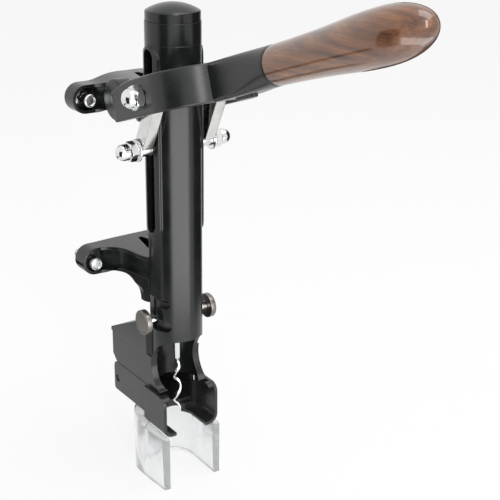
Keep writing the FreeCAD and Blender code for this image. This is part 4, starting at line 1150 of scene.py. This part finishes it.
@dataclass
class Guard:
    """Clear U-shaped guard, thin in front and thick behind; bare places are millimetres behind the tube's axis."""

    outer: float = 27.5 * MM
    outer_front: float = 25.8 * MM
    inner: float = 20.4 * MM
    front: float = -22.0
    taper_start: float = 0.0
    outer_centre: float = 14.0
    inner_centre: float = 9.5
    front_top: float = 45.0 * MM
    rear_top: float = 50.2 * MM
    step: float = 10.4

    def side(self, half: float, front_half: float, centre: float) -> np.ndarray:
        """Plan of one face of the wall: a flank, a half circle about the given centre and the other flank.

        Args:
            half: half width at the centre.
            front_half: half width at the front.
            centre: distance of the half circle's centre behind the tube.

        Returns:
            Rows of X and Y.
        """
        y = np.linspace(self.front, centre, 24)
        x = np.interp(y, [self.front, self.taper_start], [front_half, half])
        turn = np.linspace(0.0, np.pi, 49)[1:-1]
        left = np.stack([-x, behind(0.0) + y * MM], axis=1)
        bend = np.stack([-half * np.cos(turn), behind(centre) + half * np.sin(turn)], axis=1)
        return np.concatenate([left, bend, left[::-1] * np.array([-1.0, 1.0])])

    def build(self) -> None:
        """Make the guard: a rounded upright rectangle carried between the plans of its two faces."""
        outer = self.side(self.outer, self.outer_front, self.outer_centre)
        inner = self.side(self.inner, self.inner, self.inner_centre)
        middle, across = (outer + inner) / 2.0, (outer - inner) / 2.0
        thick = np.linalg.norm(across, axis=1)
        height = np.where(middle[:, 1] > behind(self.step), self.rear_top, self.front_top)
        ring = ring_rectangle(float(thick.mean()), self.front_top / 2.0, 0.6 * MM, 4)
        ring = ring / np.array([thick.mean(), self.front_top / 2.0])
        inset = np.zeros(len(middle))
        inset[[0, -1]] = 0.5 * MM
        wide = ring[None, :, 0] * (1.0 - inset / thick)[:, None]
        tall = ring[None, :, 1] * (height / 2.0 - inset)[:, None] + level(0.0) + height[:, None] / 2.0
        plan = middle[:, None] + across[:, None] * wide[..., None]
        shell = Shell().grid(np.concatenate([plan, tall[..., None]], axis=2))
        place(shell.piece("clear_bottle_guard"), Body.CLAMP, CLEAR, "clear_plastic", "bottle_guard")


NODES_BY_FINISH = (
    (BLACK, ("body_casting", "head_collar", "top_cap")),
    (SHEET_BLACK, ("clamp_frame", "neck_jaw")),
    (MACHINED, (
        "handle_tang", "fulcrum_pins", "arm_pivot_studs", "link_bushes", "cross_pin", "spindle_retaining_nut",
        "carrier_spring", "clamp_spring",
    )),
    (DARK_STEEL, ("crosshead", "nut_carrier", "spring_seat_ring", "guide_bush", "clamp_pivot_pin")),
    (PLATED, ("fulcrum_washers", "cross_pin_sleeves", "guard_screws", "wall_studs", "wall_washers")),
    (BRASS, ("spindle_thrust_washer", "drive_nut")),
    (CHROME, ("latch_pins",)),
)


# Studio


@dataclass(frozen=True)
class Lamp:
    """Soft rectangular lamp."""

    name: str
    place: Point
    aim: Point
    size: tuple[float, float]
    power: float

    def build(self) -> None:
        """Hang the lamp, turned to its aim."""
        data = bpy.data.lights.new(self.name, "AREA")
        data.shape, data.size, data.size_y, data.energy = "RECTANGLE", *self.size, self.power
        obj = linked(self.name, data)
        look = Vector(self.aim) - Vector(self.place)
        obj.matrix_world = Matrix.Translation(self.place) @ look.to_track_quat("-Z", "Y").to_matrix().to_4x4()


@dataclass(frozen=True)
class ArcCard:
    """Upright card bent about the tube that only shows in reflections: bright if it glows, else dark."""

    name: str
    span: tuple[float, float]
    radius: float
    levels: tuple[float, float]
    glow: float = 0.0

    def build(self) -> None:
        """Stand the card: its span is in degrees to the right of the camera, seen from the tube."""
        turn = np.radians(np.linspace(*self.span, 25) + CAMERA_AZIMUTH)
        x = self.radius * np.sin(turn)
        y = TUBE_Y - self.radius * np.cos(turn)
        rows = [np.stack([x, y, np.full_like(x, level(z))], axis=1) for z in self.levels]
        mesh = bpy.data.meshes.new(self.name)
        mesh.from_pydata(np.concatenate(rows), [], grid_faces(2, len(x), False).tolist())
        obj = linked(self.name, mesh)
        kit = NodeKit(self.name)
        white = (1.0, 1.0, 1.0, 1.0)
        kit.plain({"Base Color": (0.01, 0.01, 0.01, 1.0), "Roughness": 1.0})
        kit.plain({"Emission Color": white, "Emission Strength": self.glow})
        mesh.materials.append(kit.material)
        obj.visible_camera = obj.visible_diffuse = obj.visible_shadow = obj.visible_transmission = False


@dataclass
class Studio:
    """Pale floor, white surroundings, soft lamps, cards that only reflections show, and the camera."""

    floor_half: float = 9.0
    floor_gap: float = 0.1 * MM
    floor_glow: float = 0.8
    ambient: float = 0.62
    elevation: float = 20.96
    roll: float = -0.84
    aim: tuple[float, float] = (69.08, 175.6)
    distance: float = 839.03 * MM
    focal_pixels: float = 1061.08
    picture_pixels: float = 500.0
    sensor: float = 36.0
    far_clip: float = 50.0

    def build(self) -> None:
        """Set the studio up."""
        self.floor()
        self.world()
        for lamp in (
            Lamp("key_lamp", (-0.45, -1.5, 0.75), (0.0, -0.06, -0.02), (0.25, 1.3), 9.0),
            Lamp("top_lamp", (0.3, -0.5, 1.5), (0.0, -0.1, 0.0), (1.2, 1.2), 14.0),
        ):
            lamp.build()
        for card in (
            ArcCard("dark_left_card", (-52.0, -15.0), 0.34, (1.0, 420.0)),
            ArcCard("bright_card", (-10.0, 64.0), 0.34, (1.0, 260.0), 4.0),
            ArcCard("low_left_card", (-150.0, -60.0), 0.33, (1.0, 80.0)),
            ArcCard("dark_right_card", (86.0, 150.0), 0.34, (1.0, 520.0)),
        ):
            card.build()
        self.camera()

    def background_share(self, tree: bpy.types.NodeTree) -> Socket:
        """One where a camera, glossy or transmission ray looks, and nought elsewhere.

        Args:
            tree: the node tree that needs the value.

        Returns:
            The value's socket.
        """
        rays = tree.nodes.new("ShaderNodeLightPath")
        total = rays.outputs["Is Camera Ray"]
        for name in ("Is Glossy Ray", "Is Transmission Ray"):
            join = tree.nodes.new("ShaderNodeMath")
            join.operation = "MAXIMUM"
            tree.links.new(total, join.inputs[0])
            tree.links.new(rays.outputs[name], join.inputs[1])
            total = join.outputs[0]
        return total

    def world(self) -> None:
        """White surroundings for what looks at them, and a plain lower level for soft light."""
        world = bpy.data.worlds.new("studio")
        bpy.context.scene.world = world
        world.use_nodes = True
        tree = world.node_tree
        back = tree.nodes["Background"]
        back.inputs["Color"].default_value = (1.0, 1.0, 1.0, 1.0)
        spread = tree.nodes.new("ShaderNodeMapRange")
        spread.inputs["To Min"].default_value = self.ambient
        spread.inputs["To Max"].default_value = 1.0
        tree.links.new(self.background_share(tree), spread.inputs["Value"])
        tree.links.new(spread.outputs["Result"], back.inputs["Strength"])

    def floor(self) -> None:
        """Pale floor at the guard's foot: part lit and part white for what looks at it, so the shadow is soft."""
        size = self.floor_half
        z = FOOT_Z - self.floor_gap
        corners = [(-size, -size, z), (size, -size, z), (size, size, z), (-size, size, z)]
        mesh = bpy.data.meshes.new("studio_floor")
        mesh.from_pydata(corners, [], [(0, 1, 2, 3)])
        obj = linked("studio_floor", mesh)
        kit = NodeKit("studio_floor")
        kit.plain({"Base Color": (0.9, 0.9, 0.9, 1.0), "Roughness": 0.9})
        glow = kit.node("ShaderNodeEmission", Strength=1.0)
        mix = kit.node("ShaderNodeMixShader")
        share = kit.node("ShaderNodeMath", operation="MULTIPLY")
        share.inputs[1].default_value = self.floor_glow
        kit.link(self.background_share(kit.tree), share.inputs[0])
        kit.link(share.outputs[0], mix.inputs[0])
        kit.link(kit.shader.outputs[0], mix.inputs[1])
        kit.link(glow.outputs[0], mix.inputs[2])
        kit.link(mix.outputs[0], kit.tree.nodes["Material Output"].inputs["Surface"])
        mesh.materials.append(kit.material)

    def camera(self) -> None:
        """Camera at the photograph's place: turned, tipped and rolled about the object."""
        azimuth, elevation, roll = (math.radians(a) for a in (CAMERA_AZIMUTH, self.elevation, self.roll))
        right = np.array([math.cos(azimuth), math.sin(azimuth), 0.0])
        flat = math.cos(elevation)
        back = np.array([math.sin(azimuth) * flat, -math.cos(azimuth) * flat, math.sin(elevation)])
        up = np.cross(back, right)
        c, s = math.cos(roll), math.sin(roll)
        turned_right, turned_up = c * right - s * up, s * right + c * up
        target = np.array([self.aim[0] * MM, TUBE_Y, level(self.aim[1])])
        spot = target + back * self.distance
        data = bpy.data.cameras.new("photo_camera")
        data.sensor_width, data.clip_end = self.sensor, self.far_clip
        data.lens = self.focal_pixels / self.picture_pixels * self.sensor
        obj = linked("photo_camera", data)
        matrix = Matrix.Identity(4)
        for column, axis in enumerate((turned_right, turned_up, back, spot)):
            for row in range(3):
                matrix[row][column] = float(axis[row])
        obj.matrix_world = matrix
        bpy.context.scene.camera = obj


def main() -> None:
    """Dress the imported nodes, build the pieces and set up the studio."""
    logging.basicConfig(level=logging.INFO, format="%(message)s")
    bpy.context.scene.view_settings.view_transform = "Standard"
    for finish, nodes in NODES_BY_FINISH:
        for node in nodes:
            dress_node(node, finish)
    for part in (Lever(), Linkage(), Worm(), Latch(), WallFasteners(), Guard()):
        part.build()
    Studio().build()


if __name__ == "__main__":
    main()
